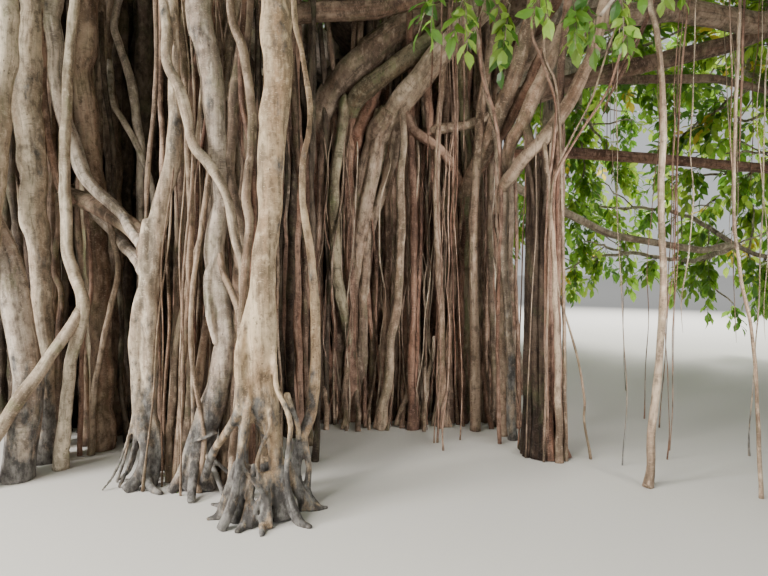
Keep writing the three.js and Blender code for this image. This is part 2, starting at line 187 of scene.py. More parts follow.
def add_tubes(gathered, paths, radii, sides, relief=1.0, tones=0.5, painted_groove_shade=0.0):
    """Adds closed tubes along paths of equal point count. relief scales each point's reach.

    Painted shade and highlight: a painted_groove_shade above zero darkens the tone in grooves, lightens it
    on ridges.
    """
    paths = np.asarray(paths, dtype=float)
    if paths.ndim == 2:
        paths = paths[None]
    radii = np.broadcast_to(radii, paths.shape[:2])
    many, steps = radii.shape
    across, beside = frames_along(paths)
    turns = np.linspace(0, FULL_TURN, sides, endpoint=False)
    outward = (np.cos(turns)[:, None] * across[:, :, None, :]
               + np.sin(turns)[:, None] * beside[:, :, None, :])
    reach = radii[:, :, None] * relief * np.ones(sides)
    points = paths[:, :, None, :] + outward * reach[..., None]

    hops = np.linalg.norm(np.diff(paths, axis=1), axis=2)
    along = np.concatenate([np.zeros((many, 1)), np.cumsum(hops, axis=1)], axis=1)
    girth = radii.mean(axis=1)[:, None, None] * np.ones((1, steps, 1))
    around = np.broadcast_arrays(np.cos(turns) * girth, np.sin(turns) * girth, along[:, :, None])
    places = np.stack(around, axis=3)
    ends = np.zeros((many, 2, 3))
    ends[:, 0, 2] = along[:, 0]
    ends[:, 1, 2] = along[:, -1]

    base = np.broadcast_to(tones, many).astype(float)[:, None, None]
    # Painted shade in the relief's grooves and a painted highlight on its ridges, through the tone
    ringed = np.broadcast_to(base + painted_groove_shade * (np.asarray(relief) - 1), (many, steps, sides))
    gathered.add(
        np.concatenate([points.reshape(many, -1, 3), paths[:, :1], paths[:, -1:]], axis=1),
        tube_faces(many, steps, sides),
        np.concatenate([places.reshape(many, -1, 3), ends], axis=1),
        np.concatenate([ringed.reshape(many, -1), ringed[:, 0, :1], ringed[:, -1, :1]], axis=1).ravel(),
    )


# How much painted shade and highlight a root's relief puts into its tone: on free roots and limbs, and on
# fused ones
PAINTED_GROOVE_SHADE = 1.6
FUSED_PAINTED_GROOVE_SHADE = 1.8
# Sides of a root's tube, for a radius below each value
ROOT_SIDES = ((0.012, 6), (0.026, 8), (0.055, 12), (math.inf, 20))


def add_root(gathered, rng, knots, spacing=0.035, depth=0.06, wander=0.1, tones=(0.3, 0.7)):
    """One root along knots of x, y, z and radius, from its top down."""
    knots = np.asarray(knots, dtype=float)
    path = smooth_path(knots[:, :3], spacing)
    along = distances(path)
    marks = distances(knots[:, :3])
    girth = np.interp(along / along[-1], marks / marks[-1], knots[:, 3])
    hold = np.clip(along / 0.2, 0, 1) * np.clip((along[-1] - along) / 0.1, 0, 1)
    for axis in range(2):
        path[:, axis] += sway(rng, along, 0.7, 1.0) * hold * wander * girth
    path[:, 2] = np.maximum(path[:, 2], 0.0)
    girth = girth * (1 + sway(rng, along, 0.45, 0.035))
    sides = next(sides for below, sides in ROOT_SIDES if knots[:, 3].max() < below)
    relief = bark_relief(rng, along, sides, depth)
    add_tubes(gathered, path, girth[None], sides, relief[None], rng.uniform(*tones), PAINTED_GROOVE_SHADE)


# A pull towards each point's neighbours and a push back, which together smooth without thinning
SKIN_PULL = (0.6, -0.45)
TONE_PASSES = 4


def read_all(items, field, width, kind=float, row=None):
    """A field of a mesh's items as an array of rows. The width is how many values each item has."""
    values = np.empty(len(items) * width, dtype=kind)
    items.foreach_get(field, values)
    return values.reshape(-1, row or width)


def voxel_skin(tubes, voxel):
    """Points, edges and quads of one closed skin over overlapping tubes."""
    mesh = bpy.data.meshes.new("under_skin")
    faces = [face for some in tubes.faces for face in some.tolist()]
    mesh.from_pydata(np.concatenate(tubes.points).tolist(), [], faces)
    holder = bpy.data.objects.new("under_skin", mesh)
    bpy.context.scene.collection.objects.link(holder)
    remesh = holder.modifiers.new("skin", "REMESH")
    remesh.mode = "VOXEL"
    remesh.voxel_size = voxel
    evaluated = holder.evaluated_get(bpy.context.evaluated_depsgraph_get())
    skin = evaluated.to_mesh()
    points = read_all(skin.vertices, "co", 3)
    edges = read_all(skin.edges, "vertices", 2, np.int64)
    quads = read_all(skin.loops, "vertex_index", 1, np.int64, row=4)
    evaluated.to_mesh_clear()
    bpy.data.objects.remove(holder)
    bpy.data.meshes.remove(mesh)
    return points, edges, quads


def neighbour_sums(edges, values):
    """The sum of the values of each point's neighbours."""
    return (np.bincount(edges[:, 0], values[edges[:, 1]], len(values))
            + np.bincount(edges[:, 1], values[edges[:, 0]], len(values)))


def add_skin(gathered, tubes, voxel, passes):
    """One closed skin over overlapping tubes, smoothed where they meet, with their tones."""
    found, edges, quads = voxel_skin(tubes, voxel)
    neighbours = np.bincount(edges.ravel(), minlength=len(found))
    for push in SKIN_PULL * passes:
        around = np.stack([neighbour_sums(edges, found[:, axis]) for axis in range(3)], axis=1)
        found = found + push * (around / neighbours[:, None] - found)
    found[:, 2] = np.maximum(found[:, 2], 0.0)

    points = np.concatenate(tubes.points)
    tree = KDTree(len(points))
    for index, point in enumerate(points):
        tree.insert(point, index)
    tree.balance()
    tones = np.concatenate(tubes.tones)[[tree.find(point)[1] for point in found]]
    for _ in range(TONE_PASSES):
        tones = 0.5 * tones + 0.5 * neighbour_sums(edges, tones) / neighbours
    gathered.add(found, [quads], tones=tones)


# Reading limbs, trunks and masses from the frame


def cad_arrays(node):
    mesh = NODES[node].data
    mesh.calc_loop_triangles()
    return read_all(mesh.vertices, "co", 3), read_all(mesh.loop_triangles, "vertices", 3, np.int32)


def slice_of(points, triangles, origin, axis):
    """Centre and area of the slice of a closed solid by a plane."""
    heights = ((points - origin) @ axis)[triangles]
    cut = (heights > 0).any(axis=1) & ~(heights > 0).all(axis=1)
    if not cut.any():
        return None
    corners = points[triangles[cut]] - origin
    heights = heights[cut]
    facing = np.cross(corners[:, 1] - corners[:, 0], corners[:, 2] - corners[:, 0])
    ends = np.zeros((len(corners), 2, 3))
    found = np.zeros(len(corners), dtype=int)
    for a, b in ((0, 1), (1, 2), (2, 0)):
        crosses = (heights[:, a] > 0) != (heights[:, b] > 0)
        share = heights[:, a] / np.where(crosses, heights[:, a] - heights[:, b], 1.0)
        meeting = corners[:, a] + share[:, None] * (corners[:, b] - corners[:, a])
        rows = np.nonzero(crosses)[0]
        ends[rows, found[rows]] = meeting[rows]
        found[rows] += 1
    run = np.cross(axis, facing)
    backwards = ((ends[:, 1] - ends[:, 0]) * run).sum(axis=1) < 0
    ends[backwards] = ends[backwards][:, ::-1]
    twice = np.cross(ends[:, 0], ends[:, 1]) @ axis
    total = twice.sum()
    if abs(total) < 1e-7:
        return None
    centre = (ends.sum(axis=1) * twice[:, None]).sum(axis=0) / (3 * total) + origin
    return centre, abs(total) / 2


SECTION_FILL = 2.75  # area over squared radius, for the solids' seven-sided sections
SLICE_SPACING = 0.09


def limb_route(node, upright):
    """Centre line and radius of a limb's solid, from slices across it, foot or trunk end first."""
    points, triangles = cad_arrays(node)
    middle = points.mean(axis=0)
    axis = UP if upright else unit(np.linalg.svd(points - middle, full_matrices=False)[2][0])
    heights = (points - middle) @ axis
    count = max(6, int((heights.max() - heights.min()) / SLICE_SPACING))
    edge = 0.012
    centres = []
    areas = []
    for height in np.linspace(heights.min() + edge, heights.max() - edge, count):
        found = slice_of(points, triangles, middle + axis * height, axis)
        if found:
            centres.append(found[0])
            areas.append(found[1])
    path = np.array(centres)
    ahead = unit(np.gradient(path, axis=0))
    radii = np.sqrt(np.array(areas) * np.abs(ahead @ axis) / SECTION_FILL)
    inner = slice(2, -2)
    steady = np.median(np.stack([radii[i:len(radii) - 4 + i] for i in range(5)]), axis=0)
    radii[inner] = steady
    radii[:2] = np.maximum(radii[:2], steady[0]) if upright else steady[0]
    radii[-2:] = steady[-1]
    path[1:-1] = 0.5 * path[1:-1] + 0.25 * (path[:-2] + path[2:])
    if not upright and np.hypot(*path[-1][:2]) < np.hypot(*path[0][:2]):
        path = path[::-1]
        radii = radii[::-1]
    return path, radii


POINTS_AT_ONCE = 2000


def winding_inside(points, triangles, wanted):
    """Which of the wanted points lie inside a closed solid, by the solid angle it spans around them."""
    inside = np.zeros(len(wanted), dtype=bool)
    for start in range(0, len(wanted), POINTS_AT_ONCE):
        chosen = slice(start, start + POINTS_AT_ONCE)
        some = wanted[chosen, None]
        a, b, c = (points[triangles[:, corner]][None] - some for corner in range(3))
        la, lb, lc = (np.linalg.norm(side, axis=2) for side in (a, b, c))
        top = (a * np.cross(b, c)).sum(axis=2)
        bottom = (la * lb * lc + (a * b).sum(axis=2) * lc + (b * c).sum(axis=2) * la
                  + (a * c).sum(axis=2) * lb)
        inside[chosen] = np.abs(np.arctan2(top, bottom).sum(axis=1)) > math.pi
    return inside


# Materials


def add_node(tree, kind, sockets=None, **settings):
    """A shader node with its settings, and its sockets set to values or linked."""
    made = tree.nodes.new(kind)
    for key, value in settings.items():
        setattr(made, key, value)
    for key, value in (sockets or {}).items():
        socket = made.inputs[key]
        if isinstance(value, bpy.types.NodeSocket):
            tree.links.new(value, socket)
        else:
            socket.default_value = value
    return made


def colour(red, green, blue):
    return (red, green, blue, 1.0)


def stretched(tree, place, scales):
    """The place, stretched by a scale for each direction."""
    return add_node(tree, "ShaderNodeVectorMath", {0: place, 1: scales}, operation="MULTIPLY").outputs[0]


def noise(tree, place, scales, detail=3.0, roughness=0.55):
    made = add_node(tree, "ShaderNodeTexNoise", {"Vector": stretched(tree, place, scales), "Scale": 1.0,
                                                 "Detail": detail, "Roughness": roughness})
    return made.outputs["Fac"]


def between(tree, value, low, high, start=0.0, end=1.0):
    """The value mapped from low..high to start..end and held there."""
    made = add_node(tree, "ShaderNodeMapRange",
                    {"Value": value, "From Min": low, "From Max": high, "To Min": start, "To Max": end})
    return made.outputs["Result"]


def blended(tree, share, first, second, kind="MIX"):
    made = add_node(tree, "ShaderNodeMix", data_type="RGBA", blend_type=kind)
    for socket, value in ((made.inputs[0], share), (made.inputs[6], first), (made.inputs[7], second)):
        if isinstance(value, bpy.types.NodeSocket):
            tree.links.new(value, socket)
        else:
            socket.default_value = value
    return made.outputs[2]


def maths(tree, first, second, operation="ADD"):
    return add_node(tree, "ShaderNodeMath", {0: first, 1: second}, operation=operation).outputs[0]


def empty_material(name):
    material = bpy.data.materials.new(name)
    material.use_nodes = True
    material.node_tree.nodes.clear()
    return material, material.node_tree


def darkened(shade, share):
    return colour(*(share * part for part in shade))


def bark_patterns(tree):
    """The noises that a bark's colour and its relief share. Rings and pits show only here and there."""
    place = add_node(tree, "ShaderNodeAttribute", attribute_name="bark_place").outputs["Vector"]
    world = add_node(tree, "ShaderNodeTexCoord").outputs["Object"]
    pits = add_node(tree, "ShaderNodeTexVoronoi", {"Vector": stretched(tree, place, (27.0, 27.0, 19.0)),
                                                   "Scale": 1.0})
    pitted = between(tree, noise(tree, world, (5.1, 5.1, 2.9), detail=3.0), 0.47, 0.6)
    return SimpleNamespace(
        world=world,
        broad=noise(tree, world, (3.1, 3.1, 1.5), detail=4.0),
        wide_streaks=noise(tree, place, (13.0, 13.0, 1.1), detail=4.0, roughness=0.6),
        streaks=noise(tree, place, (42.0, 42.0, 2.6), detail=5.0, roughness=0.62),
        mottles=noise(tree, world, (19.0, 19.0, 11.0), detail=5.0, roughness=0.66),
        rings=noise(tree, place, (11.0, 11.0, 80.0), detail=4.0, roughness=0.66),
        ringed=between(tree, noise(tree, world, (4.3, 4.3, 3.7), detail=2.0), 0.46, 0.62),
        dashes=noise(tree, place, (46.0, 46.0, 160.0), detail=2.0),
        grain=noise(tree, place, (170.0, 170.0, 130.0), detail=3.0, roughness=0.65),
        holes=maths(tree, between(tree, pits.outputs["Distance"], 0.16, 0.07, 0.0, 0.9), pitted, "MULTIPLY"),
    )


def bark_colour(tree, pattern, light, dark, warm):
    """Streaks and mottles in two sizes, in the limb's own tone, with pale dashes, dark rings and pits."""
    darkest = darkened(dark, 0.34)
    pale = colour(*(min(1.0, 1.35 * part + 0.03) for part in light))
    mixed = blended(tree, between(tree, pattern.broad, 0.41, 0.59), colour(*dark), colour(*light))
    for pattern_part, start, end, most, shade in (
        (pattern.wide_streaks, 0.44, 0.66, 0.8, colour(*warm)),
        (pattern.streaks, 0.47, 0.3, 0.75, darkest),
        (pattern.mottles, 0.49, 0.36, 0.75, darkened(dark, 0.6)),
        (pattern.mottles, 0.53, 0.66, 0.6, pale),
    ):
        mixed = blended(tree, between(tree, pattern_part, start, end, 0.0, most), mixed, shade)
    tone = add_node(tree, "ShaderNodeAttribute", attribute_name="tone").outputs["Fac"]
    tinted = add_node(tree, "ShaderNodeHueSaturation", {
        "Hue": between(tree, tone, 0.0, 1.0, 0.485, 0.512),
        "Saturation": between(tree, tone, 0.0, 1.0, 1.2, 0.85),
        "Value": between(tree, tone, 0.0, 1.0, 0.5, 1.35),
        "Color": mixed,
    }).outputs["Color"]
    tinted = blended(tree, between(tree, pattern.dashes, 0.61, 0.68, 0.0, 0.4), tinted, pale)
    fissures = maths(tree, between(tree, pattern.rings, 0.44, 0.34, 0.0, 0.55), pattern.ringed, "MULTIPLY")
    tinted = blended(tree, fissures, tinted, darkest)
    return blended(tree, pattern.holes, tinted, darkest)


def weathered(tree, pattern, tinted, stain, lichen):
    """Green lichen in patches, and grey to black grime in patches that thicken towards the ground."""
    if lichen:
        patches = noise(tree, pattern.world, (5.2, 5.2, 3.1), detail=6.0, roughness=0.7)
        grown = between(tree, patches, 0.52, 0.63, 0.0, lichen)
        tinted = blended(tree, grown, tinted, colour(0.17, 0.2, 0.085))
    if stain:
        height = add_node(tree, "ShaderNodeSeparateXYZ", {0: pattern.world}).outputs["Z"]
        patches = noise(tree, pattern.world, (8.0, 8.0, 3.6), detail=6.0, roughness=0.68)
        low = maths(tree, between(tree, height, 1.0, 0.1, 0.0, 1.0), 0.235, "MULTIPLY")
        soot = between(tree, maths(tree, patches, low), 0.57, 0.69, 0.0, stain)
        grime = blended(tree, between(tree, pattern.mottles, 0.43, 0.6), colour(0.045, 0.046, 0.048),
                        colour(0.19, 0.19, 0.185))
        tinted = blended(tree, soot, tinted, grime)
    return tinted


def bark_height(tree, pattern):
    """The height that the bark's bump follows."""
    height = maths(tree, maths(tree, pattern.rings, pattern.ringed, "MULTIPLY"), 0.35, "MULTIPLY")
    for part, share in ((pattern.streaks, 0.9), (pattern.wide_streaks, 0.7), (pattern.mottles, 0.5),
                        (pattern.grain, 0.25), (pattern.holes, -0.3)):
        height = maths(tree, height, maths(tree, part, share, "MULTIPLY"))
    return height


def bark_material(name, light, dark, warm, stain=0.0, lichen=0.0, roughness=0.8):
    """Smooth fig bark: streaks, mottles, faint rings, pale dashes, dark pits, and what has weathered it."""
    material, tree = empty_material(name)
    pattern = bark_patterns(tree)
    tinted = weathered(tree, pattern, bark_colour(tree, pattern, light, dark, warm), stain, lichen)
    bump = add_node(tree, "ShaderNodeBump",
                    {"Strength": 0.6, "Distance": 0.014, "Height": bark_height(tree, pattern)})
    surface = add_node(tree, "ShaderNodeBsdfPrincipled", {
        "Base Color": tinted,
        "Roughness": between(tree, pattern.grain, 0.3, 0.7, roughness - 0.1, roughness + 0.1),
        "Specular IOR Level": 0.3,
        "Normal": bump.outputs["Normal"],
    })
    add_node(tree, "ShaderNodeOutputMaterial", {"Surface": surface.outputs[0]})
    return material


def leaf_material(name, face, glow, roughness=0.42, through=0.38):
    """A waxy leaf that lets some light through. Each spray has its own tone."""
    material, tree = empty_material(name)
    world = add_node(tree, "ShaderNodeTexCoord").outputs["Object"]
    tone = add_node(tree, "ShaderNodeAttribute", attribute_name="tone").outputs["Fac"]
    patches = noise(tree, world, (9.0, 9.0, 9.0), detail=2.0)
    value = maths(tree, between(tree, tone, 0.0, 1.0, 0.62, 1.3),
                  between(tree, patches, 0.3, 0.7, 0.85, 1.15), "MULTIPLY")
    faced, glowing = (
        add_node(tree, "ShaderNodeHueSaturation", {"Value": value, "Color": colour(*shade)}).outputs["Color"]
        for shade in (face, glow))
    surface = add_node(tree, "ShaderNodeBsdfPrincipled",
                       {"Base Color": faced, "Roughness": roughness, "Specular IOR Level": 0.5})
    back = add_node(tree, "ShaderNodeBsdfTranslucent", {"Color": glowing})
    mixed = add_node(tree, "ShaderNodeMixShader", {0: through, 1: surface.outputs[0], 2: back.outputs[0]})
    add_node(tree, "ShaderNodeOutputMaterial", {"Surface": mixed.outputs[0]})
    return material


def plain_material(name, shade, roughness):
    material, tree = empty_material(name)
    surface = add_node(tree, "ShaderNodeBsdfPrincipled",
                       {"Base Color": colour(*shade), "Roughness": roughness})
    add_node(tree, "ShaderNodeOutputMaterial", {"Surface": surface.outputs[0]})
    return material


# Barks: their light, dark and warm colours, and how stained, overgrown and rough they are
BARK_LOOKS = {
    "sand": ((0.57, 0.44, 0.29), (0.25, 0.178, 0.112), (0.5, 0.33, 0.195), {"stain": 0.9}),
    "tan": ((0.58, 0.475, 0.355), (0.24, 0.188, 0.138), (0.47, 0.34, 0.24), {"stain": 0.85}),
    "grey": ((0.57, 0.48, 0.39), (0.235, 0.187, 0.145), (0.48, 0.36, 0.28), {"stain": 0.85, "lichen": 0.25}),
    "pale": ((0.62, 0.52, 0.395), (0.3, 0.235, 0.165), (0.46, 0.34, 0.24), {"lichen": 0.4}),
    "olive": ((0.33, 0.28, 0.19), (0.12, 0.096, 0.06), (0.25, 0.17, 0.105), {"lichen": 0.5}),
    "umber": ((0.43, 0.325, 0.235), (0.16, 0.113, 0.077), (0.34, 0.215, 0.142), {"lichen": 0.15}),
    "red": ((0.32, 0.205, 0.147), (0.11, 0.065, 0.046), (0.33, 0.18, 0.116), {"roughness": 0.85}),
    "brown": ((0.31, 0.225, 0.163), (0.105, 0.072, 0.051), (0.25, 0.158, 0.106),
              {"lichen": 0.2, "roughness": 0.85}),
    # dark: a near-black bark that paints shade onto roots, cores and limbs that stand in deep shade
    "dark": ((0.11, 0.079, 0.056), (0.034, 0.024, 0.017), (0.078, 0.05, 0.034),
             {"lichen": 0.15, "roughness": 0.9}),
}
BARK = {name: bark_material(f"bark_{name}", *shades, **wear) for name, (*shades, wear) in BARK_LOOKS.items()}


def mesh_pieces(prefix, shades, replaced):
    """One joined piece for each bark that has anything gathered."""
    for shade, gathered in shades.items():
        if gathered.count:
            mesh_piece(f"{prefix}_{shade}", gathered, BARK[shade], replaced)


# Limbs: a mesh with the bark's relief in place of each solid


def bark_relief(rng, along, sides, depth):
    """How far the bark stands out at each point round and along a limb, about 1."""
    turns = np.linspace(0, FULL_TURN, sides, endpoint=False)[None, :]
    along = along[:, None]
    relief = np.ones((along.shape[0], sides))
    for flutes, share in ((1, 0.5), (2, 0.9), (3, 0.8), (5, 0.5), (7, 0.3)):
        twist = rng.uniform(-1.6, 1.6)
        swell = np.sin(along * rng.uniform(1.5, 4.0) + rng.uniform(0, FULL_TURN))
        relief += depth * share * (0.6 + 0.4 * swell) * np.sin(
            flutes * turns + twist * along + rng.uniform(0, FULL_TURN))
    for _ in range(3):
        relief += 0.35 * depth * np.sin(along * rng.uniform(6.0, 16.0) + rng.uniform(0, FULL_TURN)
                                        + np.sin(turns + rng.uniform(0, FULL_TURN)))
    return relief


def add_knots(rng, relief, along, per_metre, height):
    """Low round scars and burrs, at seeded places on the bark."""
    sides = relief.shape[1]
    turns = np.linspace(0, FULL_TURN, sides, endpoint=False)[None, :]
    for _ in range(rng.poisson(per_metre * along[-1])):
        place = rng.uniform(0.1, along[-1] - 0.1)
        turn = rng.uniform(0, FULL_TURN)
        off = (turns - turn + math.pi) % FULL_TURN - math.pi
        tall = rng.uniform(0.025, 0.06)
        wide = rng.uniform(0.3, 0.55)
        ring = np.exp(-((along[:, None] - place) / tall) ** 2 - (off / wide) ** 2)
        relief += rng.uniform(0.5, 1.0) * height * ring


def limb_mesh(gathered, node, path, radii, sides, spacing, depth, knots, collar):
    """A limb's tube with bark relief. A collar swells it where it grows out of its neighbour."""
    rng = stream(node)
    fine = smooth_path(path, spacing)
    along = distances(fine)
    radii = np.interp(along / along[-1], distances(path) / length_of(path), radii)
    radii = radii * (1 + collar * np.exp(-along / COLLAR_LENGTH))
    relief = bark_relief(rng, along, sides, depth)
    if knots:
        add_knots(rng, relief, along, knots, KNOT_HEIGHT)
    add_tubes(gathered, fine, radii[None], sides, relief[None], rng.uniform(0.3, 0.7), PAINTED_GROOVE_SHADE)


def seat_in_bough(node, path, reach):
    """The path made longer at its end, to the centre line of the nearest bough, or onward and to a point."""
    top = path[-1]
    lines = np.vstack([evenly(routes[bough][0], 80) for bough in BOUGHS if bough != node])
    gaps = np.linalg.norm(lines - top, axis=1)
    nearest = lines[gaps.argmin()]
    if gaps.min() < reach:
        return np.vstack([path, 0.5 * (top + nearest) + 0.15 * (top - path[-2]), nearest]), 1.0
    onward = unit(top - path[-3])
    return np.vstack([path, top + 0.25 * onward, top + 0.5 * onward]), 0.3


KNOT_HEIGHT = 0.16
COLLAR_LENGTH = 0.14

# Looks of the limbs: bark, sides, spacing of the rings, depth of the relief, and knots to each metre
LIMB_LOOKS = {
    "stem_left_grey": ("olive", 18, 0.03, 0.08, 1.0),
    "stem_left_leaning": ("grey", 20, 0.03, 0.07, 1.0),
    "stem_middle_front": ("olive", 16, 0.035, 0.08, 0.5),
    "stem_middle_back": ("brown", 16, 0.035, 0.08, 0.5),
    "stem_middle_slim": ("umber", 12, 0.035, 0.05, 0.5),
    "stem_strut_grey": ("umber", 18, 0.03, 0.06, 0.8),
    "bough_cross_left": ("brown", 18, 0.03, 0.07, 1.0),
    "bough_diagonal_low": ("umber", 22, 0.03, 0.06, 1.2),
    "bough_diagonal_mid": ("olive", 20, 0.03, 0.06, 1.2),
    "bough_top": ("brown", 20, 0.06, 0.05, 0.4),
    # bough_front takes the dark bark: painted shade where it shows behind the diagonals
    "bough_front": ("dark", 20, 0.05, 0.05, 0.6),
    "bough_front_right": ("brown", 20, 0.05, 0.05, 0.6),
    "bough_low_right": ("brown", 18, 0.035, 0.05, 1.0),
    "bough_low_right_forked": ("brown", 16, 0.04, 0.05, 1.0),
    "bough_low_right_slim": ("brown", 12, 0.05, 0.05, 0.6),
    "bough_level_right": ("red", 14, 0.04, 0.05, 0.8),
    "bough_drooping_right": ("pale", 12, 0.045, 0.06, 0.6),
}
OTHER_STEM_LOOK = ("grey", 18, 0.05, 0.07, 0.4)
OTHER_BOUGH_LOOK = ("grey", 18, 0.06, 0.05, 0.4)
# How far a bough reaches back into what carries it, and on past its solid's tip
BOUGH_SEAT = 0.22
BOUGH_TIP = 0.09
BOUGH_COLLAR = 0.25
# A strut's thickness where it starts, as a share of its own, and how far up a stem may look for its bough
STRUT_TOE = 0.4
HEAD_REACH = 0.9
GROUNDED_BELOW = 0.1

routes = {}


def seated_stem(node, path, radii):
    """A stem's line and radii, from the ground or its strut's toe up into the bough that it hangs from."""
    longer, end_share = seat_in_bough(node, path, HEAD_REACH)
    radii = np.concatenate([radii, radii[-1:] * (1 + end_share) / 2, radii[-1:] * end_share])
    if path[0, 2] < GROUNDED_BELOW:
        longer[0, 2] = 0.0
        return longer, radii
    toe = longer[:1] - unit(longer[2:3] - longer[:1]) * BOUGH_SEAT
    return np.vstack([toe, longer]), np.insert(radii, 0, radii[0] * STRUT_TOE)


def seated_bough(path, radii):
    """A bough's line and radii, from inside what carries it to a little past its solid's tip."""
    longer = np.vstack([path, path[-1:] + unit(path[-1:] - path[-3:-2]) * BOUGH_TIP])
    radii = np.append(radii, radii[-1])
    heel = longer[:1] - unit(longer[2:3] - longer[:1]) * BOUGH_SEAT
    return np.vstack([heel, longer]), np.insert(radii, 0, radii[0])


def make_limbs():
    traced = {COLUMN, *TRACED_LIMBS}.union(*(look["replaces"] for look in FRONT_STEMS.values()))
    for node in BOUGHS + STEMS:
        is_upright = node in STEMS and "strut_pale" not in node and "strut_grey" not in node
        routes[node] = limb_route(node, is_upright)
    for node in [limb for limb in BOUGHS + STEMS if limb not in traced]:
        gathered = Gathered()
        if node in STEMS:
            shade, *look = LIMB_LOOKS.get(node, OTHER_STEM_LOOK)
            limb_mesh(gathered, node, *seated_stem(node, *routes[node]), *look, collar=0.0)
            mesh_piece(f"bark_{node}", gathered, BARK[shade], [node])
        else:
            shade, *look = LIMB_LOOKS.get(node, OTHER_BOUGH_LOOK)
            limb_mesh(gathered, node, *seated_bough(*routes[node]), *look, collar=BOUGH_COLLAR)
            mesh_piece(f"bark_{node}", gathered, BARK[shade], [node])


# The nearest stems, each with the roots that it splits into, under one skin

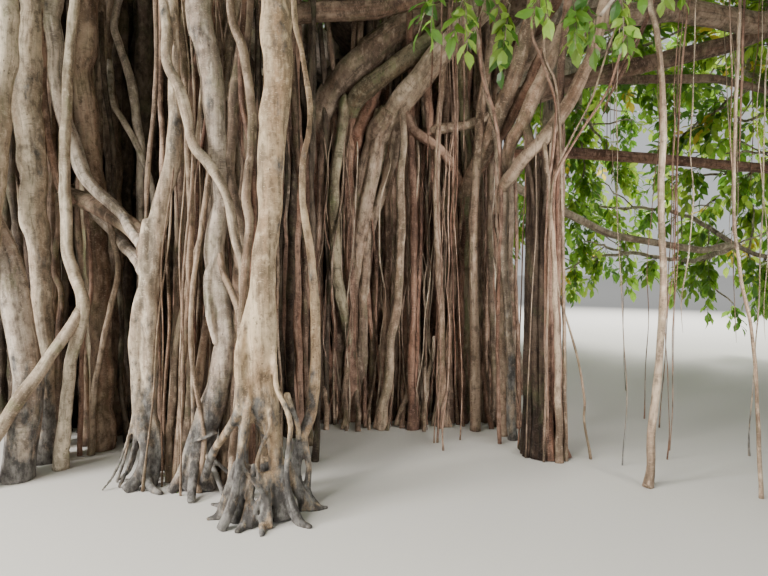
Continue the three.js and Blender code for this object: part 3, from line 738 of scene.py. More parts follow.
# Each root's knots run from its top down, as x, y, z and radius
FRONT_STEMS = {
    "front": {"shade": "sand", "replaces": ["stem_front", "stem_front_slim"], "roots": [
        [(-0.97, -3.38, 4.72, 0.09), (-0.93, -3.46, 3.12, 0.09), (-0.91, -3.48, 2.76, 0.088),
         (-0.94, -3.48, 2.4, 0.085), (-0.96, -3.48, 2.01, 0.073), (-0.97, -3.48, 1.8, 0.072),
         (-0.995, -3.48, 1.62, 0.068), (-1.005, -3.48, 1.44, 0.072), (-1.005, -3.48, 1.3, 0.077),
         (-1.02, -3.48, 1.08, 0.086), (-1.03, -3.46, 0.86, 0.098), (-1.02, -3.44, 0.66, 0.08),
         (-1.01, -3.4, 0.5, 0.045)],
        [(-1.06, -3.48, 1.42, 0.022), (-1.1, -3.51, 1.2, 0.028), (-1.135, -3.53, 1.04, 0.03),
         (-1.14, -3.54, 0.9, 0.032), (-1.125, -3.55, 0.77, 0.031), (-1.14, -3.55, 0.67, 0.03),
         (-1.19, -3.5, 0.58, 0.029), (-1.27, -3.42, 0.47, 0.028), (-1.35, -3.32, 0.37, 0.027),
         (-1.44, -3.2, 0.2, 0.029), (-1.52, -3.05, 0.0, 0.034)],
        [(-1.07, -3.52, 0.92, 0.02), (-1.09, -3.54, 0.78, 0.024), (-1.09, -3.58, 0.63, 0.024),
         (-1.11, -3.6, 0.49, 0.023), (-1.13, -3.62, 0.32, 0.024), (-1.16, -3.63, 0.15, 0.028),
         (-1.22, -3.66, 0.0, 0.034)],
        [(-1.05, -3.47, 0.95, 0.055), (-1.08, -3.48, 0.75, 0.042), (-1.11, -3.5, 0.58, 0.036),
         (-1.13, -3.51, 0.4, 0.036), (-1.14, -3.52, 0.23, 0.042), (-1.18, -3.54, 0.0, 0.06)],
        [(-1.01, -3.46, 0.95, 0.066), (-0.99, -3.46, 0.78, 0.06), (-0.96, -3.47, 0.57, 0.052),
         (-0.935, -3.48, 0.36, 0.048), (-0.92, -3.49, 0.15, 0.05), (-0.9, -3.52, 0.0, 0.068)],
        [(-1.03, -3.42, 0.9, 0.05), (-1.03, -3.34, 0.6, 0.035), (-1.03, -3.3, 0.3, 0.035),
         (-1.02, -3.28, 0.0, 0.05)],
        [(-0.93, -3.52, 1.05, 0.014), (-0.92, -3.54, 0.82, 0.018), (-0.86, -3.57, 0.69, 0.019),
         (-0.83, -3.58, 0.59, 0.019), (-0.84, -3.58, 0.45, 0.018), (-0.85, -3.59, 0.32, 0.018),
         (-0.83, -3.6, 0.17, 0.019), (-0.77, -3.61, 0.03, 0.022), (-0.7, -3.63, 0.0, 0.02)],
        [(-0.96, -3.52, 0.66, 0.016), (-0.96, -3.54, 0.56, 0.018), (-1.0, -3.57, 0.46, 0.016),
         (-1.03, -3.58, 0.34, 0.015), (-0.99, -3.59, 0.22, 0.017), (-1.03, -3.6, 0.11, 0.019),
         (-1.06, -3.64, 0.0, 0.024)],
        [(-1.12, -3.58, 0.4, 0.014), (-1.1, -3.6, 0.34, 0.016), (-1.03, -3.61, 0.25, 0.014),
         (-0.96, -3.61, 0.15, 0.016), (-0.94, -3.64, 0.0, 0.022)],
        [(-1.05, -3.52, 0.34, 0.02), (-1.07, -3.57, 0.18, 0.026), (-1.09, -3.62, 0.04, 0.03),
         (-1.12, -3.7, 0.0, 0.02)],
        [(-0.98, -3.54, 0.3, 0.026), (-0.97, -3.58, 0.14, 0.03), (-0.98, -3.64, 0.03, 0.028),
         (-0.97, -3.74, 0.0, 0.016)],
        [(-0.91, -3.5, 0.3, 0.03), (-0.84, -3.54, 0.12, 0.036), (-0.78, -3.58, 0.01, 0.03),
         (-0.72, -3.63, 0.0, 0.014)],
        [(-0.9, -3.42, 0.34, 0.035), (-0.82, -3.4, 0.14, 0.04), (-0.73, -3.38, 0.01, 0.034),
         (-0.63, -3.35, 0.0, 0.014)],
        [(-1.15, -3.5, 0.34, 0.035), (-1.22, -3.5, 0.14, 0.04), (-1.28, -3.5, 0.01, 0.034),
         (-1.35, -3.52, 0.0, 0.014)],
        [(-1.16, -3.44, 0.3, 0.03), (-1.24, -3.38, 0.12, 0.034), (-1.31, -3.33, 0.01, 0.028),
         (-1.39, -3.3, 0.0, 0.012)],
        [(-1.02, -3.36, 0.3, 0.045), (-1.0, -3.26, 0.1, 0.05), (-0.96, -3.12, 0.0, 0.03)],
        [(-0.93, -2.9, 4.62, 0.024), (-0.854, -3.24, 3.215, 0.02), (-0.797, -3.28, 2.88, 0.018),
         (-0.763, -3.28, 2.675, 0.018), (-0.747, -3.28, 2.548, 0.019), (-0.753, -3.28, 2.379, 0.02),
         (-0.788, -3.28, 2.211, 0.021), (-0.797, -3.28, 2.046, 0.022), (-0.788, -3.28, 1.878, 0.024),
         (-0.74, -3.28, 1.544, 0.027), (-0.72, -3.27, 1.208, 0.031), (-0.725, -3.26, 0.83, 0.035),
         (-0.745, -3.26, 0.6, 0.038), (-0.82, -3.26, 0.4, 0.038), (-0.84, -3.3, 0.22, 0.03),
         (-0.8, -3.36, 0.06, 0.026), (-0.78, -3.4, 0.0, 0.03)],
        [(-0.88, -3.44, 0.75, 0.022), (-0.85, -3.42, 0.66, 0.02), (-0.82, -3.38, 0.55, 0.018),
         (-0.82, -3.33, 0.42, 0.02)],
        [(-0.8, -3.28, 0.45, 0.026), (-0.76, -3.3, 0.26, 0.022), (-0.76, -3.34, 0.1, 0.022),
         (-0.68, -3.38, 0.0, 0.024)],
    ]},
    "wavy": {"shade": "grey", "replaces": ["stem_wavy"], "roots": [
        [(-0.95, -2.6, 4.55, 0.09), (-1.3, -2.85, 3.9, 0.09), (-1.525, -3.0, 3.35, 0.09),
         (-1.463, -3.0, 2.94, 0.08), (-1.436, -3.0, 2.66, 0.078), (-1.405, -3.0, 2.39, 0.068),
         (-1.395, -3.0, 2.1, 0.064), (-1.397, -3.0, 1.91, 0.064), (-1.436, -3.0, 1.64, 0.068),
         (-1.42, -3.0, 1.43, 0.072), (-1.381, -3.0, 1.16, 0.064), (-1.368, -3.0, 1.0, 0.067),
         (-1.415, -3.0, 0.75, 0.078), (-1.477, -3.0, 0.54, 0.088), (-1.55, -3.0, 0.32, 0.085),
         (-1.586, -3.0, 0.1, 0.095), (-1.6, -3.0, 0.0, 0.105)],
        [(-1.42, -3.05, 1.6, 0.02), (-1.47, -3.05, 1.45, 0.03), (-1.46, -3.05, 1.2, 0.03),
         (-1.42, -3.05, 1.0, 0.02)],
        [(-1.39, -2.96, 0.85, 0.03), (-1.41, -2.95, 0.63, 0.033), (-1.45, -2.99, 0.43, 0.034),
         (-1.48, -3.02, 0.27, 0.03), (-1.48, -3.04, 0.11, 0.032), (-1.46, -3.07, 0.0, 0.04)],
        [(-1.5, -3.04, 0.33, 0.014), (-1.48, -3.08, 0.25, 0.017), (-1.42, -3.11, 0.15, 0.018),
         (-1.34, -3.16, 0.0, 0.022)],
        [(-1.44, -3.12, 0.26, 0.012), (-1.4, -3.1, 0.2, 0.014), (-1.33, -3.08, 0.12, 0.015),
         (-1.24, -3.1, 0.0, 0.018)],
        [(-1.58, -3.02, 0.42, 0.025), (-1.61, -3.05, 0.31, 0.026), (-1.65, -3.07, 0.15, 0.03),
         (-1.72, -3.1, 0.0, 0.036)],
        [(-1.62, -3.03, 0.33, 0.01), (-1.55, -3.095, 0.35, 0.011), (-1.48, -3.1, 0.37, 0.011),
         (-1.41, -3.04, 0.39, 0.01)],
        [(-1.56, -3.08, 0.2, 0.03), (-1.55, -3.17, 0.08, 0.032), (-1.52, -3.28, 0.0, 0.026)],
        [(-1.62, -2.95, 0.2, 0.04), (-1.72, -2.88, 0.07, 0.04), (-1.84, -2.82, 0.0, 0.028)],
    ]},
    "tan": {"shade": "tan", "replaces": ["stem_tan"], "roots": [
        [(-2.3, -2.1, 4.4, 0.05), (-1.95, -2.6, 3.75, 0.047), (-1.757, -2.9, 3.38, 0.045),
         (-1.715, -2.93, 2.96, 0.045), (-1.722, -2.93, 2.73, 0.047), (-1.722, -2.93, 2.5, 0.05),
         (-1.743, -2.93, 2.27, 0.055), (-1.805, -2.93, 2.04, 0.06), (-1.861, -2.93, 1.8, 0.064),
         (-1.889, -2.93, 1.66, 0.066), (-1.9, -2.93, 1.45, 0.062), (-1.93, -2.92, 1.2, 0.06),
         (-1.94, -2.92, 0.8, 0.056), (-1.95, -2.92, 0.45, 0.05)],
        [(-1.9, -2.95, 1.85, 0.045), (-1.92, -2.97, 1.64, 0.05), (-1.905, -3.0, 1.42, 0.053),
         (-1.89, -2.99, 1.2, 0.055), (-1.895, -2.97, 0.95, 0.054), (-1.91, -2.95, 0.7, 0.052),
         (-1.91, -2.94, 0.5, 0.046), (-1.87, -2.95, 0.37, 0.04), (-1.845, -2.96, 0.24, 0.036),
         (-1.87, -2.97, 0.11, 0.038), (-1.9, -2.99, 0.0, 0.045)],
        [(-1.84, -2.95, 1.75, 0.04), (-1.87, -2.99, 1.5, 0.046), (-1.94, -3.0, 1.28, 0.052),
         (-1.99, -2.96, 1.05, 0.054), (-2.0, -2.94, 0.8, 0.053), (-1.98, -2.96, 0.55, 0.05),
         (-1.94, -3.0, 0.38, 0.046), (-1.91, -3.02, 0.24, 0.044), (-1.95, -3.04, 0.1, 0.046),
         (-2.03, -3.08, 0.0, 0.045)],
        [(-2.0, -2.95, 0.62, 0.03), (-2.03, -2.96, 0.42, 0.018), (-2.07, -2.96, 0.28, 0.013),
         (-2.11, -2.94, 0.15, 0.013), (-2.17, -2.92, 0.0, 0.014)],
        [(-1.97, -2.98, 0.5, 0.025), (-2.01, -3.0, 0.28, 0.016), (-2.05, -3.0, 0.13, 0.014),
         (-2.11, -3.02, 0.0, 0.014)],
        [(-1.98, -2.94, 0.45, 0.03), (-2.04, -2.91, 0.22, 0.02), (-2.1, -2.89, 0.07, 0.018),
         (-2.19, -2.87, 0.0, 0.012)],
        [(-1.99, -2.97, 0.6, 0.016), (-2.06, -3.0, 0.3, 0.012), (-2.13, -3.04, 0.1, 0.012),
         (-2.2, -3.07, 0.0, 0.01)],
        [(-1.94, -2.88, 0.5, 0.04), (-1.95, -2.86, 0.2, 0.045), (-1.97, -2.8, 0.0, 0.05)],
        [(-1.93, -3.0, 0.12, 0.035), (-1.86, -3.08, 0.03, 0.03), (-1.76, -3.14, 0.0, 0.02)],
    ]},
}
FRONT_TONES = (0.46, 0.72)
SKIN_VOXEL = 0.011
SKIN_PASSES = 4


# Limbs that stand alone, with knots of x, y, z and radius from the top down
TRACED_LIMBS = {
    "bough_diagonal_high": ("brown", [(0.85, -0.9, 4.22, 0.12), (0.52, -1.02, 4.08, 0.135),
        (0.2, -1.16, 3.98, 0.145), (-0.08, -1.24, 3.87, 0.15), (-0.33, -1.28, 3.67, 0.155),
        (-0.62, -1.28, 3.4, 0.15), (-0.86, -1.18, 3.12, 0.14), (-0.95, -1.0, 2.86, 0.11),
        (-0.98, -0.7, 2.6, 0.08)]),
    "stem_strut_pale": ("umber", [(1.65, -2.5, 4.7, 0.048), (1.41, -2.32, 3.35, 0.05),
        (1.3, -2.32, 3.05, 0.052), (1.16, -2.32, 2.78, 0.054), (1.0, -2.3, 2.55, 0.055),
        (0.88, -2.27, 2.43, 0.055), (0.79, -2.15, 2.31, 0.055), (0.74, -1.98, 2.2, 0.052),
        (0.75, -1.9, 2.0, 0.045)]),
    "stem_middle_pale": ("umber", [(-0.13, -1.52, 3.06, 0.034), (-0.111, -1.58, 2.955, 0.032),
        (-0.1, -1.6, 2.767, 0.03), (-0.102, -1.6, 2.603, 0.031), (-0.125, -1.58, 2.368, 0.034),
        (-0.125, -1.56, 2.134, 0.038), (-0.12, -1.55, 1.875, 0.04), (-0.135, -1.55, 1.547, 0.04),
        (-0.147, -1.55, 1.312, 0.04), (-0.165, -1.55, 1.078, 0.041), (-0.219, -1.55, 0.843, 0.042),
        (-0.228, -1.55, 0.608, 0.042), (-0.252, -1.55, 0.374, 0.044), (-0.283, -1.55, 0.233, 0.047),
        (-0.32, -1.56, 0.0, 0.07)]),
    "stem_strut_red": ("umber", [(1.55, -1.98, 4.4, 0.058), (1.36, -1.98, 3.83, 0.06),
        (1.222, -1.98, 3.468, 0.06), (1.144, -1.98, 3.287, 0.06), (1.041, -1.98, 3.08, 0.06),
        (0.963, -1.98, 2.89, 0.06), (0.903, -1.98, 2.743, 0.06), (0.825, -1.97, 2.622, 0.058),
        (0.78, -1.93, 2.45, 0.05), (0.79, -1.82, 2.1, 0.042), (0.8, -1.76, 1.5, 0.04),
        (0.8, -1.75, 0.8, 0.042), (0.81, -1.76, 0.0, 0.06)]),
    "stem_right_hanging": ("umber", [(1.66, -2.95, 4.75, 0.016), (1.5, -3.0, 4.0, 0.016),
        (1.51, -3.0, 3.35, 0.017), (1.56, -3.0, 3.128, 0.018), (1.602, -3.0, 2.807, 0.02),
        (1.619, -3.0, 2.451, 0.022), (1.608, -3.0, 2.088, 0.022), (1.619, -3.0, 1.726, 0.023),
        (1.636, -3.0, 1.37, 0.024), (1.619, -3.0, 1.007, 0.025), (1.595, -3.0, 0.645, 0.026),
        (1.563, -3.0, 0.357, 0.027), (1.565, -3.0, 0.145, 0.028), (1.547, -3.0, 0.0, 0.04)]),
    "stem_left_edge": ("pale", [(-3.2, -2.8, 4.6, 0.07), (-2.9, -2.9, 3.39, 0.078),
        (-2.89, -2.9, 3.19, 0.078), (-2.94, -2.9, 2.76, 0.075), (-2.955, -2.9, 2.55, 0.072),
        (-3.0, -2.9, 2.13, 0.07), (-3.05, -2.9, 1.71, 0.07), (-3.15, -2.92, 1.08, 0.075),
        (-3.29, -2.95, 0.0, 0.1)]),
    "stem_left_broad": ("tan", [(-3.0, -2.62, 4.5, 0.08), (-2.99, -2.45, 3.61, 0.078),
        (-3.0, -2.45, 3.37, 0.085), (-3.04, -2.45, 2.9, 0.108), (-3.015, -2.45, 2.44, 0.1),
        (-3.0, -2.45, 1.95, 0.096), (-2.97, -2.45, 1.59, 0.084), (-2.95, -2.45, 1.36, 0.076),
        (-2.935, -2.45, 0.88, 0.08), (-2.935, -2.45, 0.2, 0.095), (-2.94, -2.45, 0.0, 0.12)]),
    "stem_left_pale": ("pale", [(-2.6, -2.45, 4.45, 0.034), (-2.527, -2.7, 3.49, 0.035),
        (-2.549, -2.7, 3.27, 0.036), (-2.572, -2.7, 3.05, 0.037), (-2.594, -2.7, 2.75, 0.038),
        (-2.616, -2.7, 2.38, 0.039), (-2.616, -2.7, 1.93, 0.041), (-2.608, -2.7, 1.66, 0.042),
        (-2.564, -2.7, 1.48, 0.044), (-2.498, -2.7, 1.26, 0.048), (-2.535, -2.7, 1.04, 0.045),
        (-2.6, -2.7, 0.8, 0.044), (-2.66, -2.68, 0.4, 0.046), (-2.72, -2.64, 0.0, 0.06)]),
    "stem_left_gap": ("grey", [(-2.5, -1.75, 4.3, 0.03), (-2.61, -1.9, 3.69, 0.03),
        (-2.57, -1.9, 3.45, 0.033), (-2.48, -1.9, 3.15, 0.04), (-2.43, -1.9, 2.81, 0.04),
        (-2.4, -1.9, 2.535, 0.04), (-2.41, -1.9, 2.01, 0.035), (-2.42, -1.88, 1.5, 0.038),
        (-2.45, -1.85, 0.7, 0.042), (-2.5, -1.8, 0.0, 0.055)]),
}


def make_front_stems():
    for node, (shade, knots) in TRACED_LIMBS.items():
        gathered = Gathered()
        add_root(gathered, stream(node), knots, spacing=0.03, wander=0.06)
        mesh_piece(f"bark_{node}", gathered, BARK[shade], [node])
    for name, look in FRONT_STEMS.items():
        rng = stream("front_" + name)
        tubes = Gathered()
        for knots in look["roots"]:
            add_root(tubes, rng, knots, spacing=0.025, depth=0.05, wander=0.05, tones=FRONT_TONES)
        gathered = Gathered()
        add_skin(gathered, tubes, SKIN_VOXEL, SKIN_PASSES)
        mesh_piece(f"bark_{name}", gathered, BARK[look["shade"]], look["replaces"])


# Fused trunks: the solid's surface, ridged by the roots that grew together


TRUNK_LOOKS = {
    "trunk": {"columns": 240, "rows": 70, "ridges": 90, "strands": 150, "wraps": 44, "core": "red",
              "shades": {"red": 0.42, "brown": 0.34, "olive": 0.12, "tan": 0.12}},
    # trunk_left's dark core and dark strands paint shade into the hollow behind the left group
    "trunk_left": {"columns": 150, "rows": 56, "ridges": 50, "strands": 52, "wraps": 12, "core": "dark",
                   "shades": {"brown": 0.5, "dark": 0.2, "grey": 0.15, "red": 0.15}},
}
RIDGE_RADII = (0.02, 0.06)
RIDGE_INSET = 0.075
CORE_INSET = 0.02
RIDGE_SHARE = 0.95
ROW_CROWDING = 1.12  # above 1, the rows of points crowd towards the ground
DOME_HEIGHT = 0.8
DOME_SHARE = 0.985
STRAND_RADII = (0.014, 0.062)
STRAND_STEP = 0.09
GOLDEN_SHARE = 0.618034
FIRST_PARENTS = 8
DAUGHTER_SHARE = 0.42
OWN_BARK_SHARE = 0.6
HEAD_SINK = 0.4


def fused_surface(node, columns, rows):
    """Centre line, and the reach of the solid's surface from it at each height and turn."""
    points, triangles = cad_arrays(node)
    search = BVHTree.FromPolygons(points.tolist(), triangles.tolist())
    top = points[:, 2].max()
    heights = top * np.linspace(0, 1, rows) ** ROW_CROWDING
    sample = np.linspace(0.02, top - 0.02, 12)
    found = [slice_of(points, triangles, np.array([0, 0, z]), UP)[0] for z in sample]
    centres = np.stack([np.interp(heights, sample, [c[axis] for c in found]) for axis in range(2)], axis=1)
    turns = np.linspace(0, FULL_TURN, columns, endpoint=False)
    reach = np.zeros((rows, columns))
    for row, height in enumerate(heights):
        origin = Vector((*centres[row], min(max(height, 0.005), top - 0.005)))
        for column, turn in enumerate(turns):
            hit = search.ray_cast(origin, Vector((math.cos(turn), math.sin(turn), 0.0)))
            reach[row, column] = hit[3] if hit[0] else reach[row, column - 1]
    return SimpleNamespace(heights=heights, centres=centres, turns=turns, reach=reach, top=heights[-1],
                           mean_reach=reach.mean())


def fused_ridges(rng, surface, count):
    """Height of the fused roots above the trunk's core, and the tone of the root at each point."""
    heights, turns, reach, top = surface.heights, surface.turns, surface.reach, surface.top
    thin, thick = RIDGE_RADII
    field = np.zeros_like(reach)
    tones = np.full(reach.shape, 0.3)
    for _ in range(count):
        radius = thin + (thick - thin) * rng.beta(1.3, 2.2)
        lean = rng.normal(0, 0.05)
        drift = rng.uniform(0, FULL_TURN)
        wander = sway(rng, heights, rng.uniform(1.5, 3.5), 0.045)
        turn = drift + (lean * (heights - top / 2) + wander) / surface.mean_reach
        starts = top * rng.uniform(0.55, 1.15)
        fade = np.clip((starts - heights) / 0.5, 0, 1)
        girth = radius * (1 + sway(rng, heights, 0.9, 0.18)) * (1 + 0.5 * np.exp(-heights / 0.25))
        off = (turns[None, :] - turn[:, None] + math.pi) % FULL_TURN - math.pi
        share = off * reach / girth[:, None]
        stand = girth[:, None] * np.sqrt(np.clip(1 - share**2, 0, 1)) * fade[:, None]
        higher = stand > field
        field = np.where(higher, stand, field)
        tones = np.where(higher, rng.uniform(0.15, 0.85), tones)
    return field, tones


def make_trunks():
    for node, look in TRUNK_LOOKS.items():
        surface = fused_surface(node, look["columns"], look["rows"])
        heights, centres, turns, top = surface.heights, surface.centres, surface.turns, surface.top
        field, tones = fused_ridges(stream(node), surface, look["ridges"])
        rise = np.clip((heights - (top - DOME_HEIGHT)) / DOME_HEIGHT, 0, 1)
        closing = np.sqrt(1 - (DOME_SHARE * rise) ** 2)[:, None]
        ripple = 0.004 * np.sin(23 * turns[None, :] + 9 * heights[:, None]) * np.sin(31 * heights[:, None])
        core = surface.reach - RIDGE_INSET - CORE_INSET
        spread = np.maximum(core + RIDGE_SHARE * field + ripple, 0.05) * closing
        points = np.zeros((*spread.shape, 3))
        points[..., 0] = centres[:, :1] + spread * np.cos(turns)
        points[..., 1] = centres[:, 1:] + spread * np.sin(turns)
        points[..., 2] = heights[:, None]
        ends = np.array([[*centres[0], 0.0], [*centres[-1], top]])
        gathered = Gathered()
        gathered.add(np.vstack([points.reshape(-1, 3), ends]), tube_faces(1, *spread.shape),
                     tones=np.concatenate([tones.ravel(), [0.3, 0.3]]))
        mesh_piece(f"bark_{node}", gathered, BARK[look["core"]], [node])
        add_strands(node, look, surface)


def on_trunk(surface, z, turn, lift):
    """Points a given lift above a fused trunk's surface, at each height and turn."""
    row = np.interp(z, surface.heights, np.arange(len(surface.heights))).round().astype(int)
    column = (turn / FULL_TURN * len(surface.turns)).round().astype(int) % len(surface.turns)
    edges = np.pad(surface.reach[row, column], 2, mode="edge")
    away = np.convolve(edges, np.full(5, 0.2), mode="valid") + lift
    centre = np.stack([np.interp(z, surface.heights, surface.centres[:, axis]) for axis in range(2)], axis=1)
    return np.stack([centre[:, 0] + away * np.cos(turn), centre[:, 1] + away * np.sin(turn), z], axis=1)


def steps_up(start, fewest):
    """Heights from the ground up to a strand's start."""
    return np.linspace(0, start, max(fewest, int(start / STRAND_STEP)))


def sinking(z, start, length):
    """How far a strand's head sinks into the trunk, over a length below its start."""
    return HEAD_SINK * np.clip((z - start + length) / length, 0, 1)


def main_strand(rng, number, start, surface):
    z = steps_up(start, 12)
    turn = (number * GOLDEN_SHARE * FULL_TURN + rng.normal(0, 0.05)
            + (rng.normal(0, 0.025) * (z - start / 2)
               + sway(rng, z, rng.uniform(2.2, 4.2), 0.028)) / surface.mean_reach)
    return z, turn


def daughter_strand(rng, parent, start, surface):
    """A strand that forks from its parent and drifts away from it on the way to the ground."""
    start = min(start, rng.uniform(0.7, 2.9))
    z = steps_up(start, 9)
    away = np.clip((start - z) / (0.75 * start), 0, 1)
    spread = rng.choice([-1, 1]) * rng.uniform(0.05, 0.17) / surface.mean_reach
    return start, z, np.interp(z, parent.z, parent.turn) + spread * away * away * (3 - 2 * away)


def add_strands(node, look, surface):
    """Roots fused side by side down a trunk. Some fork from their neighbour on the way to the ground."""
    rng = stream(node + "_strands")
    shades = {shade: Gathered() for shade in look["shades"]}
    names = list(look["shades"])
    shares = list(look["shades"].values())
    thin, thick = STRAND_RADII
    parents = []
    for number in range(look["strands"]):
        radius = thin + (thick - thin) * rng.beta(1.4, 2.0)
        start = surface.top * rng.uniform(0.74, 0.98)
        is_daughter = len(parents) > FIRST_PARENTS and rng.random() < DAUGHTER_SHARE
        lift = rng.uniform(-0.035, 0.03)
        if is_daughter:
            parent = parents[rng.integers(len(parents))]
            start, z, turn = daughter_strand(rng, parent, start, surface)
            radius = min(radius, 0.8 * parent.radius)
            shade = parent.shade if rng.random() < OWN_BARK_SHARE else rng.choice(names, p=shares)
        else:
            z, turn = main_strand(rng, number, start, surface)
            shade = rng.choice(names, p=shares)
            parents.append(SimpleNamespace(z=z, turn=turn, radius=radius, shade=shade))
        flare = np.exp(-z / 0.16)
        lifts = lift + 0.04 * flare + sway(rng, z, 1.9, 0.012) - sinking(z, start, 0.5)
        path = on_trunk(surface, z, turn, lifts)
        taper = 1.06 - 0.1 * z / surface.top
        girth = radius * (1 + sway(rng, z, 0.8, 0.1)) * (1 + 0.35 * flare) * taper
        sides = 10 if radius > 0.035 else 8
        relief = bark_relief(rng, z, sides, 0.09)
        add_tubes(shades[shade], path, girth[None], sides, relief[None], rng.uniform(0.15, 0.85),
                  FUSED_PAINTED_GROOVE_SHADE)
    for _ in range(look["wraps"]):
        start = surface.top * rng.uniform(0.6, 0.95)
        z = steps_up(start, 10)
        turn = (rng.uniform(0, FULL_TURN) + rng.normal(0, 0.07) * (z - start / 2)
                + sway(rng, z, rng.uniform(1.6, 3.0), 0.035))
        radius = rng.uniform(0.006, 0.016)
        lifts = radius + 0.035 + 0.02 * np.abs(sway(rng, z, 1.3, 1.0)) - sinking(z, start, 0.4)
        path = on_trunk(surface, z, turn, lifts)
        girth = radius * (1 + sway(rng, z, 0.7, 0.12)) * (1 + 0.35 * np.exp(-z / 0.2))
        add_tubes(shades[rng.choice(names, p=shares)], path, girth[None], 6, tones=rng.uniform(0.2, 0.9))
    mesh_pieces(f"strands_{node}", shades, [node])


# The column at the right: a bundle of roots from the struts above it to the ground

COLUMN = "stem_right_column"
COLUMN_STRANDS = 24
COLUMN_REACH = 0.125
COLUMN_TOP = 2.45
COLUMN_HEADS = [(0.88, -2.24, 2.42), (0.95, -2.29, 2.52), (1.04, -2.31, 2.62), (1.12, -2.32, 2.72),
                (0.82, -1.99, 2.45), (0.9, -2.1, 2.5)]
CONVERGE_FROM = 1.75
PAINTED_SHADE_SIDE_BELOW = 0.05  # a strand that faces less to the right than this takes the dark bark: painted shade on the column's left


def make_column():
    path, radii = routes[COLUMN]
    rng = stream(COLUMN)
    shades = {"red": Gathered(), "brown": Gathered(), "dark": Gathered()}
    heads = np.array(COLUMN_HEADS)
    slim = np.minimum(radii, COLUMN_REACH)

    def axis_at(z):
        return np.stack([np.interp(z, path[:, 2], path[:, 0]), np.interp(z, path[:, 2], path[:, 1])], axis=1)

    z = np.linspace(0, COLUMN_TOP, 40)
    core_radius = np.interp(z, path[:, 2], slim) * np.interp(z, [0, 1.8, COLUMN_TOP], [0.8, 0.72, 0.35])
    # The dark core shows between the strands as painted shade
    add_tubes(shades["dark"], np.column_stack([axis_at(z), z]), core_radius[None], 16, tones=0.4)
    for number in range(COLUMN_STRANDS):
        turn = (number + rng.uniform(-0.35, 0.35)) / COLUMN_STRANDS * FULL_TURN
        radius = rng.uniform(0.015, 0.036)
        facing = np.array([math.cos(turn), math.sin(turn)])
        gaps = np.linalg.norm(heads[:, :2] - (axis_at(np.array([2.3]))[0] + 0.12 * facing), axis=1)
        head = heads[int(np.argsort(gaps)[rng.integers(2)])]
        z = np.linspace(0, head[2] - rng.uniform(0.0, 0.06), 34)
        around = turn + rng.normal(0, 0.12) * (z - 1) + sway(rng, z, 1.8, 0.05)
        ring = np.interp(z, path[:, 2], slim) * rng.uniform(0.7, 0.95)
        ring = ring + rng.uniform(0.0, 0.1) * np.exp(-z / 0.28)
        place = axis_at(z) + ring[:, None] * np.stack([np.cos(around), np.sin(around)], axis=1)
        close = np.clip((z - CONVERGE_FROM) / (z[-1] - CONVERGE_FROM), 0, 1) ** 1.6
        place = place * (1 - close[:, None]) + head[:2] * close[:, None]
        girth = radius * (1 + sway(rng, z, 0.7, 0.1)) * (1 + 0.4 * np.exp(-z / 0.15)) * (1 - 0.35 * close)
        # Painted shade: strands on the column's left take the dark bark and lower tones
        shade = "dark" if facing[0] < PAINTED_SHADE_SIDE_BELOW else rng.choice(["red", "brown"], p=[0.6, 0.4])
        relief = bark_relief(rng, z, 9, 0.09)
        tones = (0.0, 0.3) if shade == "dark" else (0.05, 0.5)
        add_tubes(shades[shade], np.column_stack([place, z]), girth[None], 9, relief[None],
                  rng.uniform(*tones), FUSED_PAINTED_GROOVE_SHADE)
    mesh_pieces(f"bark_{COLUMN}", shades, [COLUMN])


# Free roots that the photograph shows, from the top down: bark, radius or radii at top and foot, and knots


